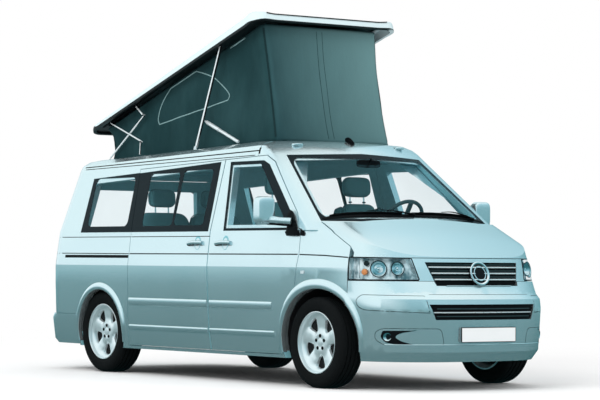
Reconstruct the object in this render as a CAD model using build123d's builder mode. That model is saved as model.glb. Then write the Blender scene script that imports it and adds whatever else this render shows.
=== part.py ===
from build123d import *
import os
from math import cos, radians, sin, tan

# Camper van with a raised pop-up roof. Millimetres.
# +X forward, +Y left, +Z up, origin on the ground at mid length.

# ---- driving dimensions ----
NOSE_X = 2445
TAIL_X = -2445
WALL = 55
GLASS = 5
GAP = 5
PANE_LAP = 42
PANE_GAP = 3

# wheels
FRONT_AXLE_X = 1551
REAR_AXLE_X = -1449
WHEEL_Y = 814
TYRE_RADIUS = 338
TYRE_WIDTH = 215
RIM_RADIUS = 228
AXLE_Z = 338
ARCH_FRONT = 398
ARCH_REAR = 352
ARCH_INNER_Y = 470
WHEELHOUSE = 12

# body levels from the sill up: height, half width, nose and tail on the centre line
BODY_LEVELS = (
    (212, 915, 2325, -2388),
    (400, 940, 2335, -2395),
    (735, 950, 2345, -2400),
    (890, 952, 2297, -2398),
    (1170, 920, 2203, -2382),
    (1300, 887, 2160, -2372),
)
# bumpers stand proud of the body: height, half width, face on the centre line
FRONT_BUMPER_LEVELS = (
    (212, 908, 2375),
    (285, 926, 2436),
    (600, 944, NOSE_X),
    (668, 947, 2428),
    (704, 948, 2380),
    (797, 951, 2330),
)
REAR_BUMPER_LEVELS = (
    (225, 917, -2385),
    (262, 924, -2436),
    (440, 944, TAIL_X),
    (478, 946, -2420),
)
# greenhouse: height, half width, windscreen and rear window on the centre line
CAB_LEVELS = (
    (1170, 920, 1683, -2382),
    (1800, 762, 863, -2300),
    (1835, 746, 812, -2288),
    (1868, 704, 745, -2250),
    (1880, 650, 665, -2195),
)
BELT_Z = 1170
NOSE_TAPER_X = 1350
NOSE_CORNER_BACK = 128
NOSE_CORNER_IN = 190
NOSE_CORNER_RADIUS = 560
NOSE_TAPER_RADIUS = 1800
SCREEN_BOW = 172
SCREEN_CORNER_RADIUS = 118
TAIL_BOW = 62
TAIL_CORNER_RADIUS = 270
ROOF_SLOPE = 2.0
ROOF_REF_X = 600
ROOF_REF_Z = 1800
ROOF_TOP_RISE = 80

# bonnet surface: a crowned sheet that falls forward
BONNET_REAR_X = 1640
BONNET_REAR_Z = 1262
BONNET_FALL = 24.6
BONNET_CROWN = 35
BONNET_FLAT_Y = 700
BONNET_SHOULDER = 236
COWL_Z = 1232
SILL_TOP_X = 1150
FAR = 6000

# cuts between the panels
GUTTER_DROP = 48
CAP_X = 604
SEAM_Z = 1236
DIVIDE_X = 400
HEADLAMP_X = 1835
BUMPER_REAR_X = 1842
REAR_BUMPER_FRONT_X = -1805
ROOF_HOLE = (-1905, 560, 555)

# grille, badge disc and plates
GRILLE_BARS = (812, 857, 901)
GRILLE_DEPTH = 12
DISC_Z = 848
DISC_X = 2310
DISC_RADIUS = 88
DISC_TILT = 17.2
DISC_LIFT = 14
PLATE_LENGTH = 520
PLATE_HEIGHT = 110
FRONT_PLATE_Z = 411

# floor and running gear
FLOOR_Z = 430
FLOOR_THICK = 36
FIREWALL_X = 1490
SILL_Z = 245
ROCKER = (-1010, 1110, 690, 830)
AXLE_SLOT = 330

# cabin
STEERING = (930, 385, 1255)
STEERING_TILT = 32
SEAT_YS = (-385, 385)
BENCH_Y = (-640, 420)

# raised roof
SHELL_REAR_X = -2061
SHELL_REAR_Z = 2019
SHELL_LENGTH = 2646
SHELL_TILT = 17.8
SHELL_HALF = 702
SHELL_REAR_THICK = 45
SHELL_FRONT_THICK = 84
SKIN = 16
SKIRT = 26
PIVOT_RISE = 98
CANVAS_BASE = (-1890, 545, 572)
CANVAS_TOP = (95, 2540, 572)
CLOTH = 8
LINK_THICK = 8
SPRING_Y = 626
SPRING_TUBE_RADIUS = 13
SPRING_BORE_RADIUS = 10.5
SPRING_ROD_RADIUS = 5
SPRING_TUBE_LENGTH = 300
SPRING_ROD_START = 200

# mirrors
MIRROR_HOUSING = (1040, 1135, 985, 1141, 1212, 1422)
MIRROR_ARM = ((1060, 1040), (1120, 1040), (1295, 935), (1295, 912), (1235, 912))


def roof_z(x):
    """Height of the roof gutter at x; the roof falls slightly to the rear."""
    return ROOF_REF_Z + (x - ROOF_REF_X) * tan(radians(ROOF_SLOPE))


def roof_plane(rise, x=0):
    """A plane that follows the roof's fall, rise above the gutter."""
    slope = radians(ROOF_SLOPE)
    return Plane(origin=(x, 0, roof_z(x) + rise), x_dir=(cos(slope), 0, sin(slope)),
                 z_dir=(-sin(slope), 0, cos(slope)))


def rounded_outline(plane, half, nose, tail, inset):
    """The body outline at one level with its corners rounded."""
    y = half - inset
    nose_x = nose - inset
    tail_x = tail + inset
    corner_x = nose_x - NOSE_CORNER_BACK
    corner_y = y - NOSE_CORNER_IN
    back_x = tail_x + TAIL_BOW
    with BuildSketch() as outline:
        with BuildLine():
            ThreePointArc((corner_x, -corner_y), (nose_x, 0), (corner_x, corner_y))
            Polyline((corner_x, corner_y), (NOSE_TAPER_X, y), (back_x, y))
            ThreePointArc((back_x, y), (tail_x, 0), (back_x, -y))
            Polyline((back_x, -y), (NOSE_TAPER_X, -y), (corner_x, -corner_y))
        make_face()
        points = outline.vertices().sort_by(Axis.X)
        fillet(points[0:2], TAIL_CORNER_RADIUS - inset)
        points = outline.vertices().sort_by(Axis.X)
        fillet(points[-2:], NOSE_CORNER_RADIUS - inset)
        bends = [v for v in outline.vertices() if abs(v.X - NOSE_TAPER_X) < 1]
        fillet(bends, NOSE_TAPER_RADIUS)
    return plane * outline.sketch_local


def cab_outline(plane, half, nose, tail, inset):
    """Greenhouse in plan: bowed windscreen and rear window, rounded pillars."""
    y = half - inset
    nose_x = nose - inset * 1.25
    tail_x = tail + inset
    corner_x = nose_x - SCREEN_BOW
    back_x = tail_x + TAIL_BOW
    with BuildSketch() as outline:
        with BuildLine():
            ThreePointArc((corner_x, -y), (nose_x, 0), (corner_x, y))
            Line((corner_x, y), (back_x, y))
            ThreePointArc((back_x, y), (tail_x, 0), (back_x, -y))
            Line((back_x, -y), (corner_x, -y))
        make_face()
        points = outline.vertices().sort_by(Axis.X)
        fillet(points[0:2], TAIL_CORNER_RADIUS - inset)
        points = outline.vertices().sort_by(Axis.X)
        fillet(points[-2:], SCREEN_CORNER_RADIUS - inset / 2)
    return plane * outline.sketch_local


def body_form(inset):
    """The closed form of the whole body, drawn in by inset on every side."""
    slope = radians(BONNET_FALL)
    sheet = Plane(origin=(BONNET_REAR_X, 0, BONNET_REAR_Z - inset), x_dir=(0, 1, 0),
                  z_dir=(cos(slope), 0, -sin(slope)))
    edge_y = BONNET_FLAT_Y + BONNET_SHOULDER - inset / 2
    edge_z = -BONNET_CROWN - BONNET_SHOULDER
    with BuildPart() as form:
        for z, half, nose, tail in BODY_LEVELS:
            add(rounded_outline(Plane.XY.offset(z), half, nose, tail, inset))
        loft(ruled=True)
        with BuildSketch(sheet):
            with BuildLine():
                crown = ThreePointArc((-BONNET_FLAT_Y, -BONNET_CROWN), (0, 0), (BONNET_FLAT_Y, -BONNET_CROWN))
                left = TangentArc(crown @ 1, (edge_y, edge_z), tangent=crown % 1)
                right = TangentArc(crown @ 0, (-edge_y, edge_z), tangent=-(crown % 0))
                Polyline(left @ 1, (1300, edge_z), (1300, 600), (-1300, 600), (-1300, edge_z), right @ 1)
            make_face()
        extrude(amount=1100, both=True, mode=Mode.SUBTRACT)
        with BuildSketch(Plane.XY.offset(COWL_Z - inset)):
            with Locations((BONNET_REAR_X - FAR / 2, 0)):
                Rectangle(FAR, FAR)
        extrude(amount=300, mode=Mode.SUBTRACT)
        with BuildSketch(Plane.XY.offset(BELT_Z)):
            with Locations((SILL_TOP_X - FAR / 2, 0)):
                Rectangle(FAR, FAR)
        extrude(amount=300, mode=Mode.SUBTRACT)
        for z, half, nose, tail in CAB_LEVELS:
            if z > BELT_Z:
                add(cab_outline(roof_plane(z - ROOF_REF_Z - inset * 0.8), half, nose, tail, inset))
            else:
                add(cab_outline(Plane.XY.offset(z), half, nose, tail, inset))
        loft(ruled=True)
    return form.part


def bumper_form(levels, inset, front):
    """A bumper's closed form; the other end of the van stays inside the body's length."""
    with BuildPart() as form:
        for z, half, face in levels:
            nose = face if front else 2325
            tail = -2380 if front else face
            add(rounded_outline(Plane.XY.offset(z), half, nose, tail, inset))
        loft(ruled=True)
    return form.part


def side_prism(points, side, inner_y=0):
    """A prism through one side of the van from an outline in the side view; side is +1 for the left."""
    with BuildPart() as prism:
        with BuildSketch(Plane.XZ.offset(-side * inner_y)):
            with BuildLine():
                Polyline(*points, close=True)
            make_face()
        extrude(amount=-side * 1400)
    return prism.part


def end_prism(points, x_from, x_to):
    """A prism along the van from an outline (y, z) in the front view."""
    with BuildPart() as prism:
        with BuildSketch(Plane.YZ.offset(x_from)):
            with BuildLine():
                Polyline(*points, close=True)
            make_face()
        extrude(amount=x_to - x_from)
    return prism.part


def plan_prism(points, z_from, z_to):
    """A vertical prism from an outline (x, y) in plan."""
    with BuildPart() as prism:
        with BuildSketch(Plane.XY.offset(z_from)):
            with BuildLine():
                Polyline(*points, close=True)
            make_face()
        extrude(amount=z_to - z_from)
    return prism.part


def cross_tube(x, z, radius, y_from, y_to):
    """A cylinder across the van."""
    with BuildPart() as tube:
        with BuildSketch(Plane.XZ.offset(-y_from)):
            with Locations((x, z)):
                Circle(radius)
        extrude(amount=-(y_to - y_from))
    return tube.part


def grown(points, amount):
    """The outline offset by amount, outwards if positive, with sharp corners."""
    with BuildSketch() as sketch:
        with BuildLine():
            Polyline(*points, close=True)
        make_face()
        offset(amount=amount, kind=Kind.INTERSECTION)
    edges = sketch.faces()[0].outer_wire().order_edges()
    return [tuple(edge @ 0)[:2] for edge in edges]


def save(part, label):
    """Names a piece and writes it."""
    part.label = label
    export_step(part, f"parts/{label}.step")


def pane_pieces(points, side):
    """A pane in the body's surface, its rebate and the opening behind it."""
    with BuildPart() as pane:
        add(side_prism(points, side))
        add(glass_skin, mode=Mode.INTERSECT)
    with BuildPart() as rebate:
        add(side_prism(grown(points, PANE_GAP), side))
        add(glass_back, mode=Mode.SUBTRACT)
    return pane.part, rebate.part, side_prism(grown(points, -PANE_LAP), side)


os.makedirs("parts", exist_ok=True)

outer = body_form(0)
inner = body_form(WALL)
cabin = body_form(WALL + GAP)
glass_back = body_form(GLASS)
shell = outer - inner
glass_skin = outer - glass_back

# ---- openings, as outlines (x, z) in the side view ----
FRONT_DOOR = ((192, 240), (165, 900), (160, 1790), (700, 1790), (718, 1748), (812, 1700), (1278, 1296), (1322, 1215),
              (1345, 1120), (1349, 997), (1328, 850), (1310, 717), (1165, 480), (1113, 300), (1108, 240))
FRONT_PANE = ((341, 1172), (236, 1712), (690, 1712), (775, 1680), (1195, 1300), (1238, 1172))
SLIDING_DOOR = ((-1013, 240), (-1002, 1000), (-1000, 1150), (-1085, 1640), (-1110, 1800), (150, 1800), (155, 900),
                (182, 240))
SLIDING_PANE = ((-1003, 1168), (-1087, 1655), (96, 1716), (126, 1168))
QUARTER_PANE = ((-1806, 1168), (-1812, 1625), (-1092.5, 1658), (-1008.5, 1168))

# ---- openings, as outlines (y, z) in the end views ----
TAILGATE = ((-735, 480), (735, 480), (735, 1100), (650, 1640), (-650, 1640), (-735, 1100))
REAR_PANE = ((-640, 1172), (640, 1172), (580, 1590), (-580, 1590))
TAIL_LAMP = ((744, 700), (1000, 700), (1000, 1120), (744, 1120))
SCREEN = ((-800, 1242), (800, 1242), (652, 1754), (0, 1778), (-652, 1754))
HEADLAMP = ((543, 965), (1000, 975), (1000, 803), (509, 803))
GRILLE = ((-440, 937), (440, 937), (384, 770), (-384, 770))
LOWER_GRILLE = ((-500, 632), (500, 632), (455, 520), (-455, 520))
BONNET_SIDE = ((1470, 1250), (1640, 1168), (1835, 1052), (1872, 1005), (1872, 970), (2600, 970), (2600, 1700),
               (1470, 1700))
BONNET_PLAN = ((1645, 0), (1612, 400), (1510, 800), (1478, 905), (1478, 1100), (2600, 1100), (2600, -1100),
               (1478, -1100), (1478, -905), (1510, -800), (1612, -400))
sides = (("right", -1), ("left", 1))


def mirrored(points):
    return [(-y, z) for y, z in points]


with BuildPart() as above_gutter:
    with BuildSketch(roof_plane(-GUTTER_DROP)):
        Rectangle(6000, 3000)
    extrude(amount=400)

with BuildPart() as above_doors:
    with BuildSketch(roof_plane(-GUTTER_DROP - GAP)):
        Rectangle(6000, 3000)
    extrude(amount=400)

with BuildPart() as bonnet_zone:
    add(plan_prism(BONNET_PLAN, 900, 1700))
    with BuildSketch(Plane.XZ):
        with BuildLine():
            Polyline(*BONNET_SIDE, close=True)
        make_face()
    extrude(amount=1400, both=True, mode=Mode.INTERSECT)

with BuildPart() as bonnet_hole:
    add(plan_prism(grown(BONNET_PLAN, GAP), 900, 1700))
    with BuildSketch(Plane.XZ):
        with BuildLine():
            Polyline(*grown(BONNET_SIDE, GAP), close=True)
        make_face()
    extrude(amount=1400, both=True, mode=Mode.INTERSECT)

screen_prism = end_prism(SCREEN, 600, 1638)
with BuildPart() as screen_rebate:
    add(end_prism(grown(SCREEN, PANE_GAP), 600, 1638))
    add(glass_back, mode=Mode.SUBTRACT)
screen_opening = end_prism(grown(SCREEN, -PANE_LAP), 600, 1638)
tailgate_hole = end_prism(grown(TAILGATE, GAP), -2600, -2150)

# ---- side walls, doors and their glass ----
side_glass = []
wings = []
headlamps = []
tail_lamps = []
for label, side in sides:
    door_hole = side_prism(grown(FRONT_DOOR, GAP), side)
    low, high = sorted((side * ARCH_INNER_Y, side * 1200))
    front_arch = cross_tube(FRONT_AXLE_X, AXLE_Z, ARCH_FRONT, low, high)
    rear_arch = cross_tube(REAR_AXLE_X, AXLE_Z, ARCH_REAR, low, high)
    lamp = end_prism(HEADLAMP if side > 0 else mirrored(HEADLAMP), HEADLAMP_X, 2600)
    tail_lamp = end_prism(TAIL_LAMP if side > 0 else mirrored(TAIL_LAMP), -2600, -2200)
    quarter, quarter_rebate, quarter_opening = pane_pieces(QUARTER_PANE, side)
    middle, middle_rebate, middle_opening = pane_pieces(SLIDING_PANE, side)
    front, front_rebate, front_opening = pane_pieces(FRONT_PANE, side)
    side_glass += [quarter, middle]

    with BuildPart() as side_wall:
        add(shell)
        add(side_prism(((-2600, 150), (1175, 150), (1175, 237), (DIVIDE_X, 237), (DIVIDE_X, 2000),
                        (-2600, 2000)), side), mode=Mode.INTERSECT)
        for cutter in (above_gutter.part, door_hole, tailgate_hole, tail_lamp, front_arch, rear_arch,
                       quarter_rebate, quarter_opening):
            add(cutter, mode=Mode.SUBTRACT)
        add(side_prism(((-2600, 100), (REAR_BUMPER_FRONT_X, 100), (REAR_BUMPER_FRONT_X, 480), (-2600, 480)),
                       side), mode=Mode.SUBTRACT)
        if side < 0:
            add(side_prism(grown(SLIDING_DOOR, GAP), side), mode=Mode.SUBTRACT)
        else:
            add(middle_rebate, mode=Mode.SUBTRACT)
            add(middle_opening, mode=Mode.SUBTRACT)
    save(side_wall.part, f"side_{label}")

    with BuildPart() as front_door:
        add(shell)
        add(side_prism(FRONT_DOOR, side), mode=Mode.INTERSECT)
        add(above_doors.part, mode=Mode.SUBTRACT)
        add(front_rebate, mode=Mode.SUBTRACT)
        add(front_opening, mode=Mode.SUBTRACT)
    save(front_door.part, f"front_door_{label}")
    save(front, f"door_glass_{label}")

    with BuildPart() as wing:
        add(shell)
        add(side_prism(((1050, 238), (HEADLAMP_X, 238), (HEADLAMP_X, SEAM_Z), (1050, SEAM_Z)), side),
            mode=Mode.INTERSECT)
        add(door_hole, mode=Mode.SUBTRACT)
        add(bonnet_hole.part, mode=Mode.SUBTRACT)
        add(front_arch, mode=Mode.SUBTRACT)
    wings.append(wing.part)

    with BuildPart() as headlamp:
        add(shell)
        add(lamp, mode=Mode.INTERSECT)
        add(bonnet_hole.part, mode=Mode.SUBTRACT)
    headlamps.append(headlamp.part)

    with BuildPart() as rear_lamp:
        add(shell)
        add(tail_lamp, mode=Mode.INTERSECT)
    tail_lamps.append(rear_lamp.part)
save(Compound(children=side_glass), "side_glass")
save(Compound(children=wings), "front_wings")
save(Compound(children=headlamps), "headlamps")
save(Compound(children=tail_lamps), "tail_lamps")

with BuildPart() as sliding_door:
    add(shell)
    add(side_prism(SLIDING_DOOR, -1), mode=Mode.INTERSECT)
    add(above_doors.part, mode=Mode.SUBTRACT)
    for cutter in pane_pieces(SLIDING_PANE, -1)[1:]:
        add(cutter, mode=Mode.SUBTRACT)
save(sliding_door.part, "sliding_door")

# ---- roof frame with its opening, front cap, screen frame ----
with BuildPart() as roof_frame:
    add(shell)
    add(above_gutter.part, mode=Mode.INTERSECT)
    add(plan_prism(((-3000, -1200), (CAP_X - GAP, -1200), (CAP_X - GAP, 1200), (-3000, 1200)), 1500, 2100),
        mode=Mode.INTERSECT)
    with BuildSketch(Plane.XY.offset(1500)):
        with Locations(((ROOF_HOLE[0] + ROOF_HOLE[1]) / 2, 0)):
            RectangleRounded(ROOF_HOLE[1] - ROOF_HOLE[0], 2 * ROOF_HOLE[2], 90)
    extrude(amount=600, mode=Mode.SUBTRACT)
save(roof_frame.part, "roof_frame")

with BuildPart() as front_cap:
    add(shell)
    add(above_gutter.part, mode=Mode.INTERSECT)
    add(plan_prism(((CAP_X, -1200), (1200, -1200), (1200, 1200), (CAP_X, 1200)), 1500, 2100),
        mode=Mode.INTERSECT)
    add(screen_rebate.part, mode=Mode.SUBTRACT)
    add(screen_opening, mode=Mode.SUBTRACT)
save(front_cap.part, "front_cap")

with BuildPart() as screen_frame:
    add(shell)
    add(plan_prism(((DIVIDE_X, -1200), (1900, -1200), (1900, 1200), (DIVIDE_X, 1200)), SEAM_Z, 2100),
        mode=Mode.INTERSECT)
    add(above_gutter.part, mode=Mode.SUBTRACT)
    add(screen_rebate.part, mode=Mode.SUBTRACT)
    add(screen_opening, mode=Mode.SUBTRACT)
    add(bonnet_hole.part, mode=Mode.SUBTRACT)
    for label, side in sides:
        add(side_prism(grown(FRONT_DOOR, GAP), side), mode=Mode.SUBTRACT)
save(screen_frame.part, "screen_frame")

with BuildPart() as windscreen:
    add(glass_skin)
    add(screen_prism, mode=Mode.INTERSECT)
save(windscreen.part, "windscreen")

# ---- bonnet, grille and bumpers ----
both_lamps = [end_prism(HEADLAMP, HEADLAMP_X, 2600), end_prism(mirrored(HEADLAMP), HEADLAMP_X, 2600)]
lamp_holes = [end_prism(grown(outline, PANE_GAP), HEADLAMP_X - PANE_GAP, 2600)
              for outline in (HEADLAMP, mirrored(HEADLAMP))]
with BuildPart() as bonnet:
    add(shell)
    add(bonnet_zone.part, mode=Mode.INTERSECT)
    for cutter in lamp_holes:
        add(cutter, mode=Mode.SUBTRACT)
save(bonnet.part, "bonnet")

with BuildPart() as front_panel:
    add(shell)
    add(end_prism(((-560, 800), (560, 800), (560, 965), (-560, 965)), 1900, 2600), mode=Mode.INTERSECT)
    for cutter in lamp_holes:
        add(cutter, mode=Mode.SUBTRACT)
    add(end_prism(GRILLE, 1900, 2600), mode=Mode.SUBTRACT)
    add(bonnet_hole.part, mode=Mode.SUBTRACT)
save(front_panel.part, "grille_surround")

grille_field = end_prism(grown(GRILLE, -PANE_GAP), 1900, 2600)
grille_back = body_form(GRILLE_DEPTH)
disc_plane = Plane(origin=(DISC_X, 0, DISC_Z), x_dir=(0, 1, 0),
                   z_dir=(cos(radians(DISC_TILT)), 0, sin(radians(DISC_TILT))))
with BuildPart() as grille:
    add(grille_back - body_form(2 * GRILLE_DEPTH))
    add(grille_field, mode=Mode.INTERSECT)
with BuildPart() as grille_bars:
    add(outer - grille_back)
    add(grille_field, mode=Mode.INTERSECT)
    with BuildSketch(Plane.YZ):
        for z in GRILLE_BARS:
            with Locations((0, z)):
                Rectangle(1200, 8)
    extrude(amount=2600, mode=Mode.INTERSECT)
with BuildPart() as grille_whole:
    add(grille.part)
    add(grille_bars.part)
    with BuildSketch(disc_plane.offset(DISC_LIFT)):
        Circle(DISC_RADIUS)
    extrude(amount=DISC_LIFT)
    with BuildSketch(disc_plane.offset(-1.5 * GRILLE_DEPTH)):
        Circle(DISC_RADIUS / 2)
    extrude(amount=1.5 * GRILLE_DEPTH + DISC_LIFT)


bumper_outer = bumper_form(FRONT_BUMPER_LEVELS, 0, True)
bumper_inner = bumper_form(FRONT_BUMPER_LEVELS, 40, True)
with BuildPart() as front_bumper:
    add(bumper_outer - bumper_inner)
    add(plan_prism(((BUMPER_REAR_X, -1200), (2600, -1200), (2600, 1200), (BUMPER_REAR_X, 1200)), 100, 1000),
        mode=Mode.INTERSECT)
    add(cross_tube(FRONT_AXLE_X, AXLE_Z, ARCH_FRONT, -1200, 1200), mode=Mode.SUBTRACT)
    add(end_prism(LOWER_GRILLE, 2200, 2600), mode=Mode.SUBTRACT)
    add(end_prism(grown(GRILLE, GAP), 2200, 2600), mode=Mode.SUBTRACT)
    with BuildSketch(disc_plane):
        Circle(DISC_RADIUS + GAP)
    extrude(amount=200, mode=Mode.SUBTRACT)
    with BuildSketch(Plane.YZ.offset(2436)):
        with Locations((0, FRONT_PLATE_Z)):
            Rectangle(PLATE_LENGTH + 2 * PANE_GAP, PLATE_HEIGHT + 2 * PANE_GAP)
    extrude(amount=100, mode=Mode.SUBTRACT)
save(front_bumper.part, "front_bumper")

with BuildPart() as lower_grille:
    add(bumper_form(FRONT_BUMPER_LEVELS, 14, True) - bumper_form(FRONT_BUMPER_LEVELS, 26, True))
    add(end_prism(grown(LOWER_GRILLE, -1), 2200, 2600), mode=Mode.INTERSECT)
save(Compound(children=[grille_whole.part, lower_grille.part]), "grilles")

with BuildPart() as rear_bumper:
    add(bumper_form(REAR_BUMPER_LEVELS, 0, False) - bumper_form(REAR_BUMPER_LEVELS, 40, False))
    add(plan_prism(((-2600, -1200), (REAR_BUMPER_FRONT_X - GAP, -1200), (REAR_BUMPER_FRONT_X - GAP, 1200),
                    (-2600, 1200)), 100, 1000), mode=Mode.INTERSECT)
    add(cross_tube(REAR_AXLE_X, AXLE_Z, ARCH_REAR, -1200, 1200), mode=Mode.SUBTRACT)
save(rear_bumper.part, "rear_bumper")

# ---- tailgate ----
rear_rebate = end_prism(grown(REAR_PANE, PANE_GAP), -2600, -2100) - glass_back
rear_pane = end_prism(REAR_PANE, -2600, -2100)
with BuildPart() as tailgate:
    add(shell)
    add(end_prism(TAILGATE, -2600, -2150), mode=Mode.INTERSECT)
    add(rear_rebate, mode=Mode.SUBTRACT)
    add(end_prism(grown(REAR_PANE, -PANE_LAP), -2600, -2100), mode=Mode.SUBTRACT)
save(tailgate.part, "tailgate")
save(glass_skin & rear_pane, "tailgate_glass")

# ---- floor with its firewall, sill beams and wheelhouses ----
wheels = (("front", FRONT_AXLE_X, ARCH_FRONT), ("rear", REAR_AXLE_X, ARCH_REAR))
with BuildPart() as floor_pan:
    with BuildSketch(Plane.XY.offset(FLOOR_Z)):
        with Locations(((FIREWALL_X - 2300) / 2, 0)):
            Rectangle(FIREWALL_X + 2300, 2400)
    extrude(amount=FLOOR_THICK)
    with BuildSketch(Plane.XY.offset(FLOOR_Z)):
        with Locations((FIREWALL_X - 10, 0)):
            Rectangle(20, 2400)
    extrude(amount=760)
    add(cabin, mode=Mode.INTERSECT)
    for label, axle_x, radius in wheels:
        for side in (1, -1):
            low, high = sorted((side * (ARCH_INNER_Y - WHEELHOUSE), side * 1200))
            add(cross_tube(axle_x, AXLE_Z, radius + WHEELHOUSE, low, high), mode=Mode.SUBTRACT)
save(floor_pan.part, "floor_pan")

sill_beams = []
for side in (1, -1):
    with BuildPart() as beam:
        add(plan_prism(((ROCKER[0], side * ROCKER[2]), (ROCKER[1], side * ROCKER[2]), (ROCKER[1], side * ROCKER[3]),
                        (ROCKER[0], side * ROCKER[3])), SILL_Z, FLOOR_Z))
        add(cabin, mode=Mode.INTERSECT)
    sill_beams.append(beam.part)
save(Compound(children=sill_beams), "sill_beams")

wheelhouses = []
for label, axle_x, radius in wheels:
    slot_x = axle_x if label == "front" else axle_x + 90
    for side in (1, -1):
        low, high = sorted((side * (ARCH_INNER_Y - WHEELHOUSE), side * 1200))
        arch_low, arch_high = sorted((side * ARCH_INNER_Y, side * 1200))
        with BuildPart() as wheelhouse:
            add(cross_tube(axle_x, AXLE_Z, radius + WHEELHOUSE, low, high))
            add(cabin, mode=Mode.INTERSECT)
            add(cross_tube(axle_x, AXLE_Z, radius, arch_low, arch_high), mode=Mode.SUBTRACT)
            with BuildSketch(Plane.XY.offset(-200)):
                Rectangle(FAR, FAR)
            extrude(amount=200 + SILL_Z, mode=Mode.SUBTRACT)
            with BuildSketch(Plane.XY.offset(200)):
                with Locations((slot_x, side * (ARCH_INNER_Y - 10))):
                    Rectangle(AXLE_SLOT, 60)
            extrude(amount=180, mode=Mode.SUBTRACT)
        wheelhouses.append(wheelhouse.part)
save(Compound(children=wheelhouses), "wheelhouses")


def block(x0, x1, y0, y1, z0, z1, radius):
    """A block with all its edges rounded."""
    with BuildPart() as solid:
        with BuildSketch(Plane.XY.offset(z0)):
            with Locations(((x0 + x1) / 2, (y0 + y1) / 2)):
                Rectangle(x1 - x0, y1 - y0)
        extrude(amount=z1 - z0)
        if radius:
            fillet(solid.edges(), radius)
    return solid.part


# ---- cabin ----
with BuildPart() as dashboard:
    with BuildSketch(Plane.XZ):
        with BuildLine():
            Polyline((1110, 900), (1075, 1040), (1120, 1150), (1200, 1185), (1470, 1160), (1470, 700), (1330, 760),
                     close=True)
        make_face()
    extrude(amount=790, both=True)
    add(cabin, mode=Mode.INTERSECT)
    add(cross_tube(FRONT_AXLE_X, AXLE_Z, ARCH_FRONT + 2 * WHEELHOUSE, -1200, 1200), mode=Mode.SUBTRACT)
save(dashboard.part, "dashboard")

tilt = radians(STEERING_TILT)
wheel_plane = Plane(origin=STEERING, x_dir=(0, 1, 0), z_dir=(-cos(tilt), 0, sin(tilt)))
with BuildPart() as steering_wheel:
    with BuildSketch(Plane(origin=STEERING, x_dir=(0, 1, 0), z_dir=(-sin(tilt), 0, -cos(tilt)))):
        with Locations((188, 0)):
            Circle(15)
    revolve(axis=Axis(STEERING, (-cos(tilt), 0, sin(tilt))))
    with BuildSketch(wheel_plane.offset(-30)):
        Circle(58)
        with PolarLocations(98, 3, start_angle=-90):
            Rectangle(180, 34)
    extrude(amount=18)
    with BuildSketch(wheel_plane.offset(-14)):
        Circle(26)
    extrude(amount=-150)
save(steering_wheel.part, "steering_wheel")

seats = []
for y in SEAT_YS:
    with BuildPart() as seat:
        add(block(430, 940, y - 250, y + 250, 760, 900, 45))
        add(block(500, 860, y - 200, y + 200, FLOOR_Z + FLOOR_THICK, 765, 0))
        with BuildSketch(Plane.XZ.offset(-y - 235)):
            with BuildLine():
                Polyline((395, 820), (545, 850), (400, 1415), (300, 1415), close=True)
            make_face()
            fillet(vertices(), 40)
        extrude(amount=470)
        add(block(285, 395, y - 130, y + 130, 1455, 1620, 40))
        with BuildSketch(Plane.XY.offset(1400)):
            with Locations((342, y - 70), (342, y + 70)):
                Circle(7)
        extrude(amount=60)
    seats.append(seat.part)
save(Compound(children=seats), "front_seats")

with BuildPart() as bench:
    add(block(-1330, -760, BENCH_Y[0], BENCH_Y[1], 720, 900, 50))
    add(block(-1280, -800, -440, 390, FLOOR_Z + FLOOR_THICK, 730, 0))
    with BuildSketch(Plane.XZ.offset(-BENCH_Y[0])):
        with BuildLine():
            Polyline((-1370, 820), (-1210, 850), (-1330, 1350), (-1430, 1350), close=True)
        make_face()
        fillet(vertices(), 40)
    extrude(amount=-(BENCH_Y[1] - BENCH_Y[0]))
    for y in (-400, 180):
        add(block(-1440, -1335, y - 125, y + 125, 1385, 1540, 40))
        with BuildSketch(Plane.XY.offset(1330)):
            with Locations((-1388, y - 65), (-1388, y + 65)):
                Circle(7)
        extrude(amount=60)
save(bench.part, "rear_bench")

with BuildPart() as kitchen:
    add(block(-1050, 60, 470, 1000, FLOOR_Z + FLOOR_THICK, 1105, 0))
    add(cabin, mode=Mode.INTERSECT)
    add(cross_tube(REAR_AXLE_X, AXLE_Z, ARCH_REAR + 2 * WHEELHOUSE, 0, 1200), mode=Mode.SUBTRACT)
save(kitchen.part, "kitchen_cabinet")

# ---- running gear ----
save(block(1640, 2060, -330, 430, 420, 950, 0), "engine_block")

with BuildPart() as front_subframe:
    add(block(1440, 1660, -400, 400, 290, 350, 0))
    for side in (1, -1):
        add(plan_prism(((1460, side * 395), (1640, side * 395), (1575, side * 640), (1527, side * 640)), 250, 285))
        add(block(1470, 1630, *sorted((side * 330, side * 400)), 250, 300, 0))
    add(block(1400, 1440, -560, 560, 300, 340, 0))


with BuildPart() as rear_subframe:
    add(block(-1330, -1200, -448, 448, 300, 425, 0))
    for side in (1, -1):
        add(plan_prism(((-1200, side * 440), (-1200, side * 640), (-1500, side * 690), (-1500, side * 560)),
                       300, 372))
        with BuildSketch(Plane.XZ.offset(-side * 560)):
            with Locations((REAR_AXLE_X, AXLE_Z)):
                Circle(50)
        extrude(amount=-side * 150)
save(Compound(children=[front_subframe.part, rear_subframe.part]), "subframes")

with BuildPart() as exhaust:
    with BuildSketch(Plane.YZ.offset(-1150)):
        with Locations((300, 330)):
            Circle(28)
    extrude(amount=2400)
    with BuildSketch(Plane.YZ.offset(-700)):
        with Locations((300, 330)):
            Circle(85)
    extrude(amount=500)
save(Compound(children=[block(150, 900, -560, 160, 250, 428, 30), exhaust.part]), "tank_and_exhaust")

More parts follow.
